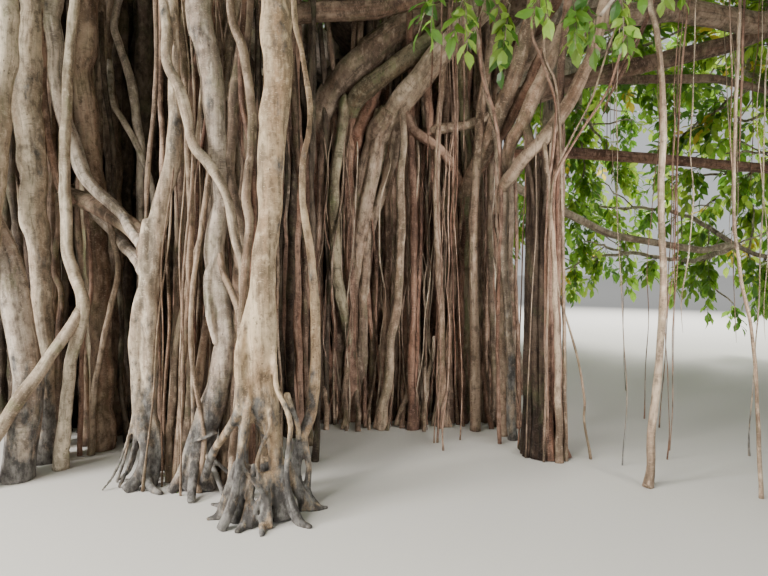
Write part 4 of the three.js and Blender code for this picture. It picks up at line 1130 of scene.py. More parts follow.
FREE_ROOTS = [
    ("red", 0.04, [(-1.6, -2.3, 4.3), (-1.7, -2.6, 2.78), (-1.79, -2.6, 1.83), (-1.83, -2.6, 1.3),
        (-1.85, -2.6, 0.7), (-1.9, -2.62, 0.0)]),
    ("umber", 0.024, [(-1.15, -2.7, 4.5), (-1.43, -2.92, 2.4), (-1.33, -2.92, 1.75), (-1.29, -2.92, 1.2),
        (-1.36, -2.92, 0.6), (-1.4, -2.95, 0.0)]),
    ("red", 0.018, [(-1.1, -3.0, 4.6), (-1.2, -3.2, 2.83), (-1.12, -3.22, 2.15), (-1.15, -3.2, 1.3),
        (-1.22, -3.2, 0.0)]),
    ("umber", 0.02, [(-1.9, -2.3, 4.2), (-1.8, -2.68, 2.2), (-1.81, -2.7, 1.3), (-1.88, -2.72, 0.0)]),
    ("tan", 0.013, [(-1.45, -2.9, 3.6), (-1.6, -2.97, 2.0), (-1.61, -2.97, 1.1), (-1.6, -2.97, 0.0)]),
    ("umber", 0.016, [(-1.42, -3.03, 2.4), (-1.55, -3.09, 1.45), (-1.58, -3.08, 0.95), (-1.5, -3.08, 0.4),
        (-1.53, -3.1, 0.0)]),
    ("brown", 0.009, [(-1.62, -2.9, 4.2), (-1.57, -3.04, 3.1), (-1.54, -3.08, 2.6), (-1.57, -3.08, 2.0),
        (-1.63, -3.08, 1.4), (-1.64, -3.06, 0.8), (-1.69, -3.06, 0.0)]),
    ("grey", 0.045, [(-2.65, -2.24, 1.98), (-2.45, -2.24, 1.76), (-2.2, -2.5, 1.6), (-1.95, -2.82, 1.42)]),
    ("umber", 0.022, [(-2.5, -2.3, 1.96), (-2.43, -2.3, 1.53), (-2.5, -2.3, 1.15), (-2.62, -2.3, 0.6),
        (-2.66, -2.32, 0.0)]),
    ("red", 0.016, [(-2.68, -2.3, 2.05), (-2.62, -2.34, 1.4), (-2.7, -2.34, 0.9), (-2.74, -2.34, 0.0)]),
    ("brown", (0.1, 0.085), [(-0.22, -1.5, 3.0), (-0.36, -1.38, 2.76), (-0.45, -1.3, 2.45),
        (-0.53, -1.22, 2.0), (-0.58, -1.18, 1.4), (-0.62, -1.12, 0.7), (-0.64, -1.08, 0.0)]),
    ("olive", 0.06, [(-0.24, -1.4, 3.0), (-0.45, -1.2, 2.0), (-0.5, -1.1, 1.0), (-0.47, -1.08, 0.0)]),
    ("red", 0.048, [(-0.22, -1.35, 2.95), (-0.27, -1.12, 1.9), (-0.34, -1.05, 1.0), (-0.32, -1.02, 0.0)]),
    ("red", 0.04, [(0.12, -1.55, 3.3), (0.23, -1.3, 2.2), (0.28, -1.2, 1.7), (0.4, -1.12, 1.0),
        (0.42, -1.08, 0.0)]),
    ("red", 0.085, [(0.1, -0.6, 3.2), (0.36, -0.95, 3.41), (0.8, -1.05, 3.58), (1.25, -1.2, 3.95),
        (1.45, -1.9, 4.5)]),
    ("red", 0.05, [(1.15, -1.75, 3.45), (0.89, -1.72, 2.92), (0.63, -1.55, 2.48), (0.4, -1.1, 2.25),
        (0.3, -0.6, 2.1)]),
    ("red", 0.015, [(0.6, -1.75, 4.3), (0.54, -1.98, 3.3), (0.66, -2.02, 2.8), (0.72, -2.02, 2.2),
        (0.7, -2.0, 1.0), (0.72, -2.02, 0.0)]),
    ("umber", 0.014, [(1.2, -2.2, 4.5), (0.97, -2.4, 3.3), (1.05, -2.42, 2.95), (1.09, -2.44, 2.5),
        (1.12, -2.44, 1.6), (1.15, -2.46, 0.0)]),
    ("red", 0.03, [(1.35, -2.05, 4.5), (1.17, -2.2, 3.2), (1.16, -2.25, 2.2), (1.12, -2.3, 1.2),
        (1.17, -2.35, 0.0)]),
    ("umber", (0.007, 0.01), [(1.03, -2.38, 2.5), (1.0, -2.42, 1.95), (1.06, -2.42, 1.637),
        (1.1, -2.42, 1.305), (1.204, -2.42, 0.973), (1.267, -2.42, 0.726), (1.307, -2.42, 0.474),
        (1.307, -2.42, 0.308), (1.346, -2.42, 0.103), (1.362, -2.42, 0.0)]),
    ("umber", 0.011, [(2.0, -3.25, 4.4), (1.98, -3.2, 2.2), (2.03, -3.2, 1.5), (2.13, -3.2, 1.0),
        (2.2, -3.2, 0.0)]),
    ("red", 0.01, [(2.6, -2.3, 5.0), (2.58, -2.3, 3.15), (2.57, -2.3, 2.36)]),
    ("red", 0.008, [(2.0, -2.9, 4.6), (2.17, -2.2, 3.4), (2.17, -2.1, 2.2), (2.17, -2.1, 0.64)]),
    ("red", 0.01, [(1.75, -2.8, 4.7), (1.88, -2.3, 3.73), (1.65, -2.2, 3.15), (1.5, -2.2, 2.74)]),
    ("red", 0.012, [(1.9, -2.9, 4.7), (1.96, -2.1, 3.74), (1.77, -2.0, 3.22), (1.6, -2.0, 2.9)]),
    ("brown", 0.085, [(-1.65, -1.55, 4.15), (-1.19, -1.85, 3.75), (-0.86, -1.9, 3.74), (-0.47, -1.9, 3.75),
        (-0.1, -1.85, 3.85), (0.9, -1.5, 4.3)]),
    ("tan", (0.042, 0.024), [(-2.0, -2.55, 4.3), (-1.76, -2.98, 3.2), (-1.72, -3.07, 2.9),
        (-1.64, -3.09, 2.72), (-1.59, -3.1, 2.52), (-1.54, -3.1, 2.32), (-1.44, -3.12, 2.21),
        (-1.34, -3.14, 2.05), (-1.29, -3.15, 1.88), (-1.255, -3.15, 1.7), (-1.21, -3.17, 1.57),
        (-1.19, -3.2, 1.4), (-1.19, -3.22, 1.1), (-1.21, -3.22, 0.6), (-1.25, -3.24, 0.0)]),
    ("umber", (0.03, 0.02), [(-1.6, -2.6, 4.3), (-1.66, -2.9, 3.3), (-1.62, -2.98, 2.6), (-1.6, -3.0, 1.9),
        (-1.62, -3.0, 1.3), (-1.68, -2.98, 0.7), (-1.74, -2.96, 0.0)]),
    ("umber", (0.03, 0.026), [(-1.3, -2.9, 4.5), (-1.26, -3.2, 3.25), (-1.18, -3.22, 2.89),
        (-1.12, -3.24, 2.49), (-1.12, -3.25, 2.33), (-1.15, -3.26, 2.11), (-1.155, -3.26, 1.95),
        (-1.135, -3.26, 1.79), (-1.156, -3.28, 1.56), (-1.17, -3.3, 1.37), (-1.18, -3.3, 1.12),
        (-1.2, -3.3, 0.8), (-1.23, -3.28, 0.48), (-1.27, -3.24, 0.0)]),
    ("brown", (0.042, 0.034), [(-1.15, -2.7, 4.5), (-1.22, -2.95, 3.25), (-1.27, -2.97, 2.9),
        (-1.3, -3.0, 2.6), (-1.33, -3.0, 2.32), (-1.32, -3.0, 2.1), (-1.285, -3.0, 1.87),
        (-1.27, -3.0, 1.63), (-1.28, -3.0, 1.2), (-1.3, -3.0, 0.6), (-1.33, -3.0, 0.0)]),
    ("brown", (0.045, 0.05), [(-1.9, -2.3, 4.3), (-1.76, -2.72, 3.0), (-1.745, -2.75, 2.35),
        (-1.75, -2.75, 1.86), (-1.765, -2.75, 1.33), (-1.78, -2.75, 1.08), (-1.79, -2.75, 0.55),
        (-1.8, -2.75, 0.0)]),
    ("umber", (0.018, 0.026), [(-1.45, -2.93, 2.2), (-1.52, -2.92, 1.99), (-1.57, -2.9, 1.71),
        (-1.64, -2.9, 1.48), (-1.7, -2.9, 1.2), (-1.75, -2.9, 0.92), (-1.77, -2.9, 0.64),
        (-1.8, -2.9, 0.29), (-1.8, -2.9, 0.0)]),
    ("brown", (0.03, 0.045), [(-1.55, -2.7, 2.0), (-1.62, -2.8, 1.6), (-1.68, -2.84, 1.3),
        (-1.7, -2.85, 1.05), (-1.67, -2.85, 0.86), (-1.645, -2.85, 0.72), (-1.68, -2.85, 0.39),
        (-1.7, -2.85, 0.0)]),
    ("umber", (0.024, 0.034), [(-1.42, -2.92, 1.75), (-1.46, -2.9, 1.4), (-1.5, -2.9, 1.2),
        (-1.55, -2.9, 0.99), (-1.59, -2.9, 0.68), (-1.62, -2.9, 0.52), (-1.64, -2.9, 0.24),
        (-1.66, -2.9, 0.0)]),
    ("umber", (0.022, 0.03), [(-1.42, -3.0, 1.68), (-1.355, -3.08, 1.48), (-1.29, -3.12, 1.35),
        (-1.24, -3.14, 1.21), (-1.21, -3.16, 1.03), (-1.2, -3.18, 0.63), (-1.22, -3.2, 0.0)]),
    ("brown", (0.035, 0.045), [(-1.3, -2.5, 4.0), (-1.5, -2.75, 2.6), (-1.52, -2.78, 1.8),
        (-1.42, -2.8, 1.2), (-1.38, -2.8, 0.7), (-1.42, -2.8, 0.0)]),
    ("brown", (0.04, 0.05), [(-1.7, -2.2, 4.2), (-1.62, -2.5, 2.8), (-1.58, -2.55, 1.9),
        (-1.62, -2.55, 1.1), (-1.66, -2.55, 0.0)]),
    ("grey", (0.085, 0.035), [(-2.75, -2.3, 4.4), (-2.88, -2.35, 3.66), (-2.88, -2.35, 3.18),
        (-2.85, -2.35, 2.93), (-2.79, -2.35, 2.62), (-2.69, -2.35, 2.34), (-2.59, -2.36, 2.16),
        (-2.44, -2.4, 2.03), (-2.28, -2.5, 1.9), (-2.12, -2.68, 1.76), (-1.97, -2.86, 1.64)]),
    ("umber", (0.104, 0.08), [(-2.75, -2.15, 4.4), (-2.73, -2.15, 3.75), (-2.747, -2.15, 3.417),
        (-2.772, -2.15, 3.083), (-2.747, -2.15, 2.75), (-2.713, -2.15, 2.417), (-2.688, -2.15, 2.208),
        (-2.663, -2.15, 1.583), (-2.647, -2.15, 1.0), (-2.647, -2.15, 0.0)]),
    ("pale", (0.04, 0.05), [(-2.51, -2.7, 1.22), (-2.6, -2.8, 1.0), (-2.78, -2.92, 0.68),
        (-2.95, -3.03, 0.35), (-3.15, -3.08, 0.0)]),
    ("brown", (0.064, 0.085), [(-2.7, -1.6, 4.3), (-2.8, -1.7, 3.4), (-2.75, -1.7, 2.96),
        (-2.75, -1.7, 2.59), (-2.73, -1.7, 2.23), (-2.73, -1.7, 1.77), (-2.76, -1.7, 0.95),
        (-2.76, -1.7, 0.0)]),
    ("grey", 0.026, [(-2.75, -1.72, 3.38), (-2.68, -1.84, 3.12), (-2.607, -1.95, 2.916),
        (-2.529, -1.95, 2.785), (-2.425, -1.95, 2.603), (-2.35, -1.95, 2.43), (-2.29, -1.97, 2.26),
        (-2.25, -2.0, 1.98), (-2.22, -2.0, 1.0), (-2.2, -2.0, 0.0)]),
    ("red", (0.035, 0.03), [(-2.95, -2.5, 4.4), (-2.94, -2.42, 3.16), (-2.94, -2.4, 2.91),
        (-2.915, -2.4, 2.56), (-2.83, -2.4, 2.19), (-2.75, -2.36, 2.02)]),
    ("brown", (0.02, 0.026), [(-2.83, -2.42, 2.1), (-2.82, -2.45, 1.81), (-2.857, -2.45, 1.5),
        (-2.8, -2.45, 1.34), (-2.83, -2.45, 1.03), (-2.84, -2.45, 0.48), (-2.84, -2.45, 0.0)]),
    ("red", (0.07, 0.085), [(-0.36, -1.4, 3.26), (-0.47, -1.32, 2.98), (-0.58, -1.22, 2.6),
        (-0.62, -1.16, 2.2), (-0.66, -1.12, 1.7), (-0.68, -1.1, 1.0), (-0.67, -1.0, 0.0)]),
    ("brown", (0.045, 0.045), [(-0.12, -1.52, 3.06), (-0.17, -1.45, 2.75), (-0.2, -1.4, 2.51),
        (-0.28, -1.35, 2.28), (-0.37, -1.32, 2.04), (-0.44, -1.3, 1.7), (-0.48, -1.28, 1.11),
        (-0.51, -1.24, 0.0)]),
    ("red", (0.075, 0.09), [(-0.89, -1.1, 3.11), (-0.97, -1.08, 2.83), (-1.02, -1.06, 2.37),
        (-1.04, -1.05, 1.81), (-1.06, -1.05, 0.88), (-1.07, -1.05, 0.0)]),
    ("umber", (0.055, 0.045), [(0.05, -0.8, 2.88), (0.13, -1.2, 2.86), (0.27, -1.55, 2.82),
        (0.5, -1.62, 2.84), (0.68, -1.68, 2.9), (0.8, -1.74, 2.99)]),
    ("red", (0.055, 0.035), [(-0.2, -1.52, 3.03), (-0.09, -1.5, 2.97), (-0.02, -1.48, 2.84),
        (0.06, -1.5, 2.77), (0.25, -1.52, 2.63), (0.37, -1.45, 2.48), (0.49, -1.3, 2.29),
        (0.52, -1.0, 2.1)]),
    ("olive", (0.05, 0.06), [(0.45, -1.42, 3.85), (0.48, -1.35, 3.16), (0.52, -1.3, 2.78),
        (0.53, -1.28, 2.19), (0.53, -1.25, 1.2), (0.52, -1.22, 0.0)]),
    ("umber", (0.026, 0.034), [(0.28, -1.62, 3.5), (0.25, -1.52, 3.11), (0.22, -1.55, 2.67),
        (0.21, -1.55, 2.16), (0.22, -1.55, 1.73), (0.26, -1.52, 1.03), (0.27, -1.48, 0.0)]),
    ("brown", 0.021, [(0.42, -1.9, 4.2), (0.48, -1.95, 3.7), (0.54, -1.95, 3.36), (0.614, -1.94, 2.99),
        (0.7, -1.86, 2.75), (0.74, -1.8, 2.66)]),
    ("red", 0.011, [(1.35, -2.2, 4.5), (0.95, -2.35, 3.9), (0.87, -2.4, 3.39), (0.94, -2.42, 3.15),
        (1.02, -2.44, 2.91), (1.05, -2.45, 2.73), (1.03, -2.46, 2.43), (0.99, -2.46, 2.05),
        (0.98, -2.46, 1.27), (1.01, -2.46, 0.0)]),
    ("umber", (0.018, 0.024), [(1.0, -2.3, 2.56), (0.99, -2.38, 2.45), (0.98, -2.45, 2.29),
        (1.01, -2.46, 2.11), (1.01, -2.47, 1.93), (1.03, -2.48, 1.66), (1.06, -2.49, 1.04),
        (1.09, -2.5, 0.0)]),
    ("red", 0.009, [(1.6, -2.6, 4.6), (1.5, -2.7, 3.4), (1.4, -2.7, 2.94), (1.35, -2.6, 2.77),
        (1.22, -2.55, 2.56), (1.08, -2.52, 2.32), (1.03, -2.5, 2.15), (1.04, -2.48, 1.73),
        (1.07, -2.48, 1.03), (1.09, -2.48, 0.0)]),
    ("brown", 0.008, [(1.5, -2.5, 4.55), (1.45, -2.68, 3.5), (1.35, -2.65, 3.07), (1.28, -2.58, 2.79),
        (1.16, -2.52, 2.53), (1.06, -2.5, 2.3), (1.01, -2.49, 2.04), (0.99, -2.49, 1.35),
        (0.97, -2.49, 0.0)]),
    ("brown", (0.04, 0.05), [(0.93, -1.98, 2.76), (0.945, -2.02, 2.62), (0.965, -2.12, 2.4),
        (0.965, -2.2, 2.22), (0.96, -2.25, 2.05), (0.98, -2.28, 1.75)]),
    ("tan", 0.034, [(0.72, -1.74, 2.8), (0.72, -1.85, 2.55), (0.74, -1.97, 2.3), (0.74, -1.99, 1.67),
        (0.81, -1.94, 0.97), (0.86, -1.9, 0.0)]),
    # A thick root in the dark bark: painted shade behind the left group
    ("dark", 0.12, [(-3.18, -1.0, 4.3), (-3.18, -1.0, 2.0), (-3.18, -1.0, 0.0)]),
]


# A free root's foot or tip, as a share of its radius
GROUND_FLARE = 1.35
FREE_TIP = 0.3
THICK_ROOT = 0.03


def make_free_roots():
    rng = stream("free_roots")
    shades = {shade: Gathered() for shade in BARK}
    for shade, radius, knots in FREE_ROOTS:
        first, last = radius if isinstance(radius, tuple) else (radius, radius)
        line = np.array(knots)
        girth = first + (last - first) * (distances(line) / length_of(line))
        is_held = line[-1, 2] == 0.0 or first > THICK_ROOT
        girth[-1] *= GROUND_FLARE if is_held else FREE_TIP
        add_root(shades[shade], rng, np.column_stack([line, girth]), spacing=0.045, depth=0.07, wander=0.12)
    mesh_pieces("roots_free", shades, [])


# Curtains of thin roots, at seeded places in a box, from its top down to the ground or a free tip


CURTAINS = [
    {"name": "left_middle", "shades": ("brown", "umber", "red"), "count": 26, "low": (-2.0, -2.75),
     "high": (-1.15, -2.15), "top": 4.25, "radii": (0.009, 0.045), "grounded": 1.0, "sway": 0.03},
    {"name": "left_fine", "shades": ("umber", "red"), "count": 12, "low": (-1.85, -3.0),
     "high": (-1.2, -2.8), "top": 4.3, "radii": (0.004, 0.011), "grounded": 1.0, "sway": 0.035},
    {"name": "left_group", "shades": ("brown", "dark"), "count": 16, "low": (-3.5, -2.25),
     "high": (-2.65, -1.75), "top": 4.3, "radii": (0.02, 0.06), "grounded": 1.0, "sway": 0.03},
    # left_backing: dark roots that fill the gaps behind the left group with painted shade
    {"name": "left_backing", "shades": ("dark",), "count": 66, "low": (-4.7, -1.65), "high": (-2.4, -0.85),
     "top": 4.3, "radii": (0.04, 0.12), "grounded": 1.0, "sway": 0.03},
    {"name": "over_high_diagonal", "shades": ("brown", "dark"), "count": 18, "low": (-1.0, -1.32),
     "high": (-0.05, -1.2), "top": 4.45, "radii": (0.02, 0.06), "grounded": 0.0, "feet": (3.1, 3.3),
     "sway": 0.02},
    # slit_backing: dark roots that fill the slit beside the middle trunk with painted shade
    {"name": "slit_backing", "shades": ("dark",), "count": 22, "low": (-1.6, -0.95), "high": (-0.75, -0.35),
     "top": 4.2, "radii": (0.045, 0.1), "grounded": 1.0, "sway": 0.025},
    # behind_front: its dark roots paint shade behind the front stems
    {"name": "behind_front", "shades": ("brown", "dark", "red"), "count": 24, "low": (-1.6, -2.3),
     "high": (-0.85, -1.1), "top": 4.1, "radii": (0.015, 0.06), "grounded": 1.0, "sway": 0.03},
    {"name": "middle_red", "shades": ("red",), "count": 9, "low": (0.13, -2.1), "high": (0.38, -1.9),
     "top": 4.0, "radii": (0.004, 0.009), "grounded": 0.3, "sway": 0.025},
    {"name": "middle_wall", "shades": ("red", "brown", "red"), "count": 40, "low": (-0.98, -1.28),
     "high": (0.05, -1.02), "top": 3.08, "radii": (0.02, 0.075), "grounded": 1.0, "sway": 0.03},
    {"name": "middle_fibres", "shades": ("red", "brown", "umber"), "count": 46, "low": (-0.95, -1.46),
     "high": (0.55, -1.2), "top": 2.85, "radii": (0.003, 0.014), "grounded": 1.0, "sway": 0.06},
    {"name": "middle_deep", "shades": ("brown", "red"), "count": 30, "low": (-0.1, -1.45),
     "high": (0.95, -0.95), "top": 3.9, "radii": (0.012, 0.055), "grounded": 1.0, "sway": 0.02},
    {"name": "right_column", "shades": ("red", "brown"), "count": 6, "low": (0.85, -2.45),
     "high": (1.2, -2.15), "top": 2.6, "radii": (0.004, 0.01), "grounded": 1.0, "sway": 0.015},
    {"name": "right_open", "shades": ("red", "tan"), "count": 20, "low": (1.3, -3.0), "high": (3.6, 0.2),
     "top": 4.4, "radii": (0.003, 0.007), "grounded": 0.35, "sway": 0.03},
    {"name": "back", "shades": ("red", "grey"), "count": 34, "low": (-2.6, 1.0), "high": (3.0, 3.2),
     "top": 4.5, "radii": (0.004, 0.022), "grounded": 0.5, "sway": 0.03},
]


# Heights of the free tips, and the sides of a root's tube for a radius below each value
FREE_FEET = (0.4, 2.6)
CURTAIN_SIDES = ((0.01, 5), (0.025, 7), (math.inf, 10))


def make_curtains():
    for curtain in CURTAINS:
        rng = stream("curtain_" + curtain["name"])
        shades = {shade: Gathered() for shade in curtain["shades"]}
        thin, thick = curtain["radii"]
        for _ in range(curtain["count"]):
            radius = thin + (thick - thin) * rng.beta(1.0, 2.2)
            x, y = rng.uniform(curtain["low"], curtain["high"])
            top = curtain["top"] + rng.uniform(-0.1, 0.15)
            is_grounded = rng.random() < curtain["grounded"]
            foot = 0.0 if is_grounded else rng.uniform(*curtain.get("feet", FREE_FEET))
            z = np.linspace(top, foot, max(12, int((top - foot) / STRAND_STEP)))
            along = top - z
            drift = rng.normal(0, 0.025, 2)
            path = np.stack([
                x + drift[0] * along + sway(rng, along, rng.uniform(1.8, 4.0), curtain["sway"] * 0.6),
                y + drift[1] * along + sway(rng, along, rng.uniform(1.8, 4.0), curtain["sway"] * 0.5),
                z,
            ], axis=1)
            tip = np.exp((along - along[-1]) / 0.16)
            ending = 1 + 0.8 * tip if foot == 0 else 1 - 0.8 * tip
            girth = radius * (1 + sway(rng, along, 0.6, 0.12)) * ending
            shade = rng.choice(curtain["shades"])
            sides = next(sides for below, sides in CURTAIN_SIDES if radius < below)
            relief = bark_relief(rng, along, sides, 0.07)
            add_tubes(shades[shade], path, girth[None], sides, relief[None], rng.uniform(0.15, 0.85),
                      PAINTED_GROOVE_SHADE)
        mesh_pieces(f"roots_{curtain['name']}", shades, [])


# Small roots that lean out of the fused wall's foot
WALL_TOES = 26
TOE_SPAN = (-0.95, 1.0)
WALL_FACE = -1.36


def make_wall_toes():
    rng = stream("wall_toes")
    shades = {shade: Gathered() for shade in ("brown", "red", "umber")}
    for x in np.linspace(*TOE_SPAN, WALL_TOES):
        lean = rng.normal(0, 0.1)
        height = rng.uniform(0.2, 0.75)
        reach = rng.uniform(0.08, 0.3)
        radius = rng.uniform(0.01, 0.028)
        knots = [
            (x, WALL_FACE + 0.16, height * 1.3, radius * 0.7),
            (x + 0.2 * lean, WALL_FACE + 0.06, height, radius),
            (x + 0.6 * lean, WALL_FACE - 0.35 * reach, 0.4 * height, radius),
            (x + lean, WALL_FACE - reach, 0.0, radius * 1.2),
        ]
        add_root(shades[rng.choice(list(shades))], rng, knots, wander=0.3)
    mesh_pieces("roots_wall_toes", shades, [])


# The crown: a branching tree from the boughs' tips through seeded hubs in the masses


HUB_SPACING = 0.465
CORE_SPACING = 1.0
CANDIDATES_PER_CUBIC_METRE = 60
RIM_DEPTH = 0.12
CORE_DEPTH = 0.7
SHELL_DEPTH = 0.75
SHELL_FALL = 1.3
BALANCE = 0.45
TWIGS_PER_HUB = 3.6
LEAVES_PER_TWIG = 9
TWIG_RADIUS = 0.006


def spaced_points(candidates, spacing):
    """A subset of the candidates in which no two are nearer than the spacing."""
    kept = []
    cells = {}
    beside = [(i, j, k) for i in (-1, 0, 1) for j in (-1, 0, 1) for k in (-1, 0, 1)]
    for point in candidates:
        key = tuple((point // spacing).astype(int))
        near = [cells.get((key[0] + i, key[1] + j, key[2] + k), ()) for i, j, k in beside]
        if all(np.dot(point - other, point - other) >= spacing**2 for group in near for other in group):
            cells.setdefault(key, []).append(point)
            kept.append(point)
    return np.array(kept)


def crown_points():
    """Hubs that carry leaves, near the masses' surfaces, and bare core points deeper inside."""
    rng = stream("crown")
    hubs = []
    hub_masses = []
    cores = []
    for index, node in enumerate(MASSES):
        points, triangles = cad_arrays(node)
        low, high = points.min(axis=0), points.max(axis=0)
        wanted = rng.uniform(low, high, size=(int(np.prod(high - low) * CANDIDATES_PER_CUBIC_METRE), 3))
        wanted = wanted[winding_inside(points, triangles, wanted)]
        search = BVHTree.FromPolygons(points.tolist(), triangles.tolist())
        depth = np.array([search.find_nearest(Vector(point))[3] for point in wanted])
        likely = np.exp(-np.maximum(depth - RIM_DEPTH, 0) / SHELL_DEPTH * SHELL_FALL)
        shell = wanted[(depth > RIM_DEPTH) & (rng.random(len(wanted)) < likely)]
        kept = spaced_points(shell, HUB_SPACING)
        hubs.append(kept)
        hub_masses.append(np.full(len(kept), index))
        deep = wanted[depth > CORE_DEPTH]
        if len(deep):
            cores.append(spaced_points(deep, CORE_SPACING))
    return np.concatenate(hubs), np.concatenate(hub_masses), np.concatenate(cores)


def grow_tree(roots, others):
    """Parent of each point, in a tree that trades short links against a short way to the root."""
    points = np.vstack([roots, others])
    parent = np.full(len(points), -1)
    way = np.zeros(len(points))
    cost = np.full(len(points), np.inf)
    link = np.zeros(len(points), dtype=int)
    placed = np.zeros(len(points), dtype=bool)
    placed[:len(roots)] = True

    def offer(index):
        """Lets each point that isn't placed yet grow from this one, where that costs it less."""
        gap = np.linalg.norm(points - points[index], axis=1) + BALANCE * way[index]
        better = (gap < cost) & ~placed
        cost[better] = gap[better]
        link[better] = index

    for root in range(len(roots)):
        offer(root)
    order = []
    for _ in others:
        new = int(np.argmin(cost))
        parent[new] = link[new]
        way[new] = way[link[new]] + np.linalg.norm(points[new] - points[link[new]])
        placed[new] = True
        cost[new] = np.inf
        order.append(new)
        offer(new)
    return points, parent, order


# The pipe rule: a limb's radius from the twigs that it carries
PIPE_SCALE = 1.25
PIPE_POWER = 0.42
STRAIGHTENINGS = 3
# Sides of a crown limb's tube, for a radius above each value
CROWN_SIDES = ((0.045, 8), (0.02, 6), (0.0, 4))


def carried_by(points, parent, order, is_hub):
    """The twigs that each point carries, its children that carry any, and the child that carries most."""
    load = np.where(is_hub, TWIGS_PER_HUB, 0.0)
    for child in reversed(order):
        load[parent[child]] += load[child]
    children = [[] for _ in points]
    for child in order:
        if load[child] > 0:
            children[parent[child]].append(child)
    return load, children, [max(some, key=lambda child: load[child]) if some else -1 for some in children]


def straightened(points, parent, order, heaviest):
    """The points moved towards the lines between their neighbours on the same limb."""
    for _ in range(STRAIGHTENINGS):
        moved = points.copy()
        for child in order:
            after = heaviest[child]
            if after >= 0:
                moved[child] = 0.5 * points[child] + 0.25 * (points[parent[child]] + points[after])
        points = moved
    return points


def limb_chains(root_count, children, heaviest):
    """Each crown limb's points, outward along the heaviest children. The others start limbs of their own."""
    starts = [(root, child) for root in range(root_count) for child in children[root]]
    while starts:
        chain = list(starts.pop())
        while heaviest[chain[-1]] >= 0:
            fork = chain[-1]
            starts.extend((fork, child) for child in children[fork] if child != heaviest[fork])
            chain.append(heaviest[fork])
        yield chain


def grow_crown():
    """Crown limbs into the masses. Returns the hubs, the mass of each, and the point before each."""
    hubs, hub_masses, cores = crown_points()
    tips = [node for node in BOUGHS if "diagonal" not in node and "cross" not in node]
    roots = np.array([routes[node][0][-1] for node in tips])
    root_radii = np.array([routes[node][1][-1] for node in tips])
    points, parent, order = grow_tree(roots, np.vstack([hubs, cores]))
    hub_places = np.arange(len(roots), len(roots) + len(hubs))
    load, children, heaviest = carried_by(points, parent, order, np.isin(np.arange(len(points)), hub_places))
    points = straightened(points, parent, order, heaviest)

    radii = TWIG_RADIUS * PIPE_SCALE * np.maximum(load, 1) ** PIPE_POWER
    limbs = Gathered()
    rng = stream("crown_limbs")
    for chain in limb_chains(len(roots), children, heaviest):
        knots = points[chain]
        knot_radii = radii[[chain[1], *chain[1:]]]
        if chain[0] < len(roots):
            knot_radii = np.minimum(knot_radii, root_radii[chain[0]])
        path = smooth_path(knots, 0.16)
        along = distances(path)
        girth = np.interp(along / along[-1], distances(knots) / length_of(knots), knot_radii)
        bend = 0.035 * np.clip(along / 0.5, 0, 1)
        for axis in range(3):
            path[:, axis] += bend * sway(rng, along, 0.9, 0.5)
        sides = next(sides for above, sides in CROWN_SIDES if knot_radii[0] > above)
        add_tubes(limbs, path, girth[None], sides, tones=rng.uniform(0.3, 0.7))
    mesh_piece("limbs_crown", limbs, BARK["grey"], MASSES)
    return points[hub_places], hub_masses, points[parent[hub_places]]


# Leaf sprays that hang into the top of the photograph, each on a long twig from the nearest bough
NEAR_SPRAYS = [
    (0.0, -3.8, 3.06), (0.16, -3.75, 3.01), (0.33, -3.7, 3.09), (0.42, -3.68, 2.98), (0.6, -3.66, 3.12),
    (0.8, -3.6, 3.03), (0.92, -3.55, 3.1), (1.12, -3.5, 3.12),
]
NEAR_TWIG_RADII = (0.011, 0.004)
NEAR_BOUGHS = ("bough_front", "bough_front_right")
NEAR_MASS = "mass_weeping_front"


def hang_near_sprays():
    """Twigs from the boughs down to each near spray. Returns the sprays and the points before them."""
    rng = stream("near_sprays")
    lines = np.vstack([evenly(routes[bough][0], 80) for bough in NEAR_BOUGHS])
    twigs = Gathered()
    before = []
    for spray in np.array(NEAR_SPRAYS):
        seat = lines[np.linalg.norm(lines - spray, axis=1).argmin()]
        knee = 0.35 * seat + 0.65 * spray + np.array([*rng.normal(0, 0.06, 2), 0.12])
        path = smooth_path([seat, 0.75 * seat + 0.25 * knee + 0.1 * UP, knee, spray], 0.06)
        girth = np.interp(distances(path) / length_of(path), [0, 1], NEAR_TWIG_RADII)
        add_tubes(twigs, path, girth[None], 6, tones=0.5)
        before.append(path[-3])
    mesh_piece("twigs_near", twigs, BARK["olive"], [NEAR_MASS])
    return np.array(NEAR_SPRAYS), np.array(before)


LEAF_TINTS = {
    "deep": {"share": 0.3, "face": (0.045, 0.12, 0.022), "glow": (0.17, 0.38, 0.04)},
    "middle": {"share": 0.38, "face": (0.1, 0.215, 0.034), "glow": (0.31, 0.55, 0.06)},
    "fresh": {"share": 0.3, "face": (0.22, 0.36, 0.06), "glow": (0.52, 0.72, 0.09)},
    "yellow": {"share": 0.02, "face": (0.55, 0.44, 0.06), "glow": (0.75, 0.6, 0.07)},
}
LEAF_LENGTH = 0.215
NEAR_LEAF_LENGTH = 0.12
LEAF_WIDTH_SHARE = 0.5
LEAF_FOLD = 0.05
LEAF_DROOP = 0.13
LEAF_TURN = 2.4
MOST_TRIANGLES = 190000


def leaf_shape():
    """Outline of one leaf, a unit long, folded along its midrib, with a short drawn-out tip."""
    half = LEAF_WIDTH_SHARE / 2
    points = np.array([
        (0.0, 0.0, 0.0),
        (half * 0.86, 0.3, LEAF_FOLD),
        (half * 0.92, 0.62, LEAF_FOLD * 0.8),
        (0.0, 1.0, -LEAF_DROOP),
        (-half * 0.92, 0.62, LEAF_FOLD * 0.8),
        (-half * 0.86, 0.3, LEAF_FOLD),
        (0.0, 0.5, 0.0),
    ])
    rim = np.arange(6)
    return points, np.stack([np.full(6, 6), rim, (rim + 1) % 6], axis=1)


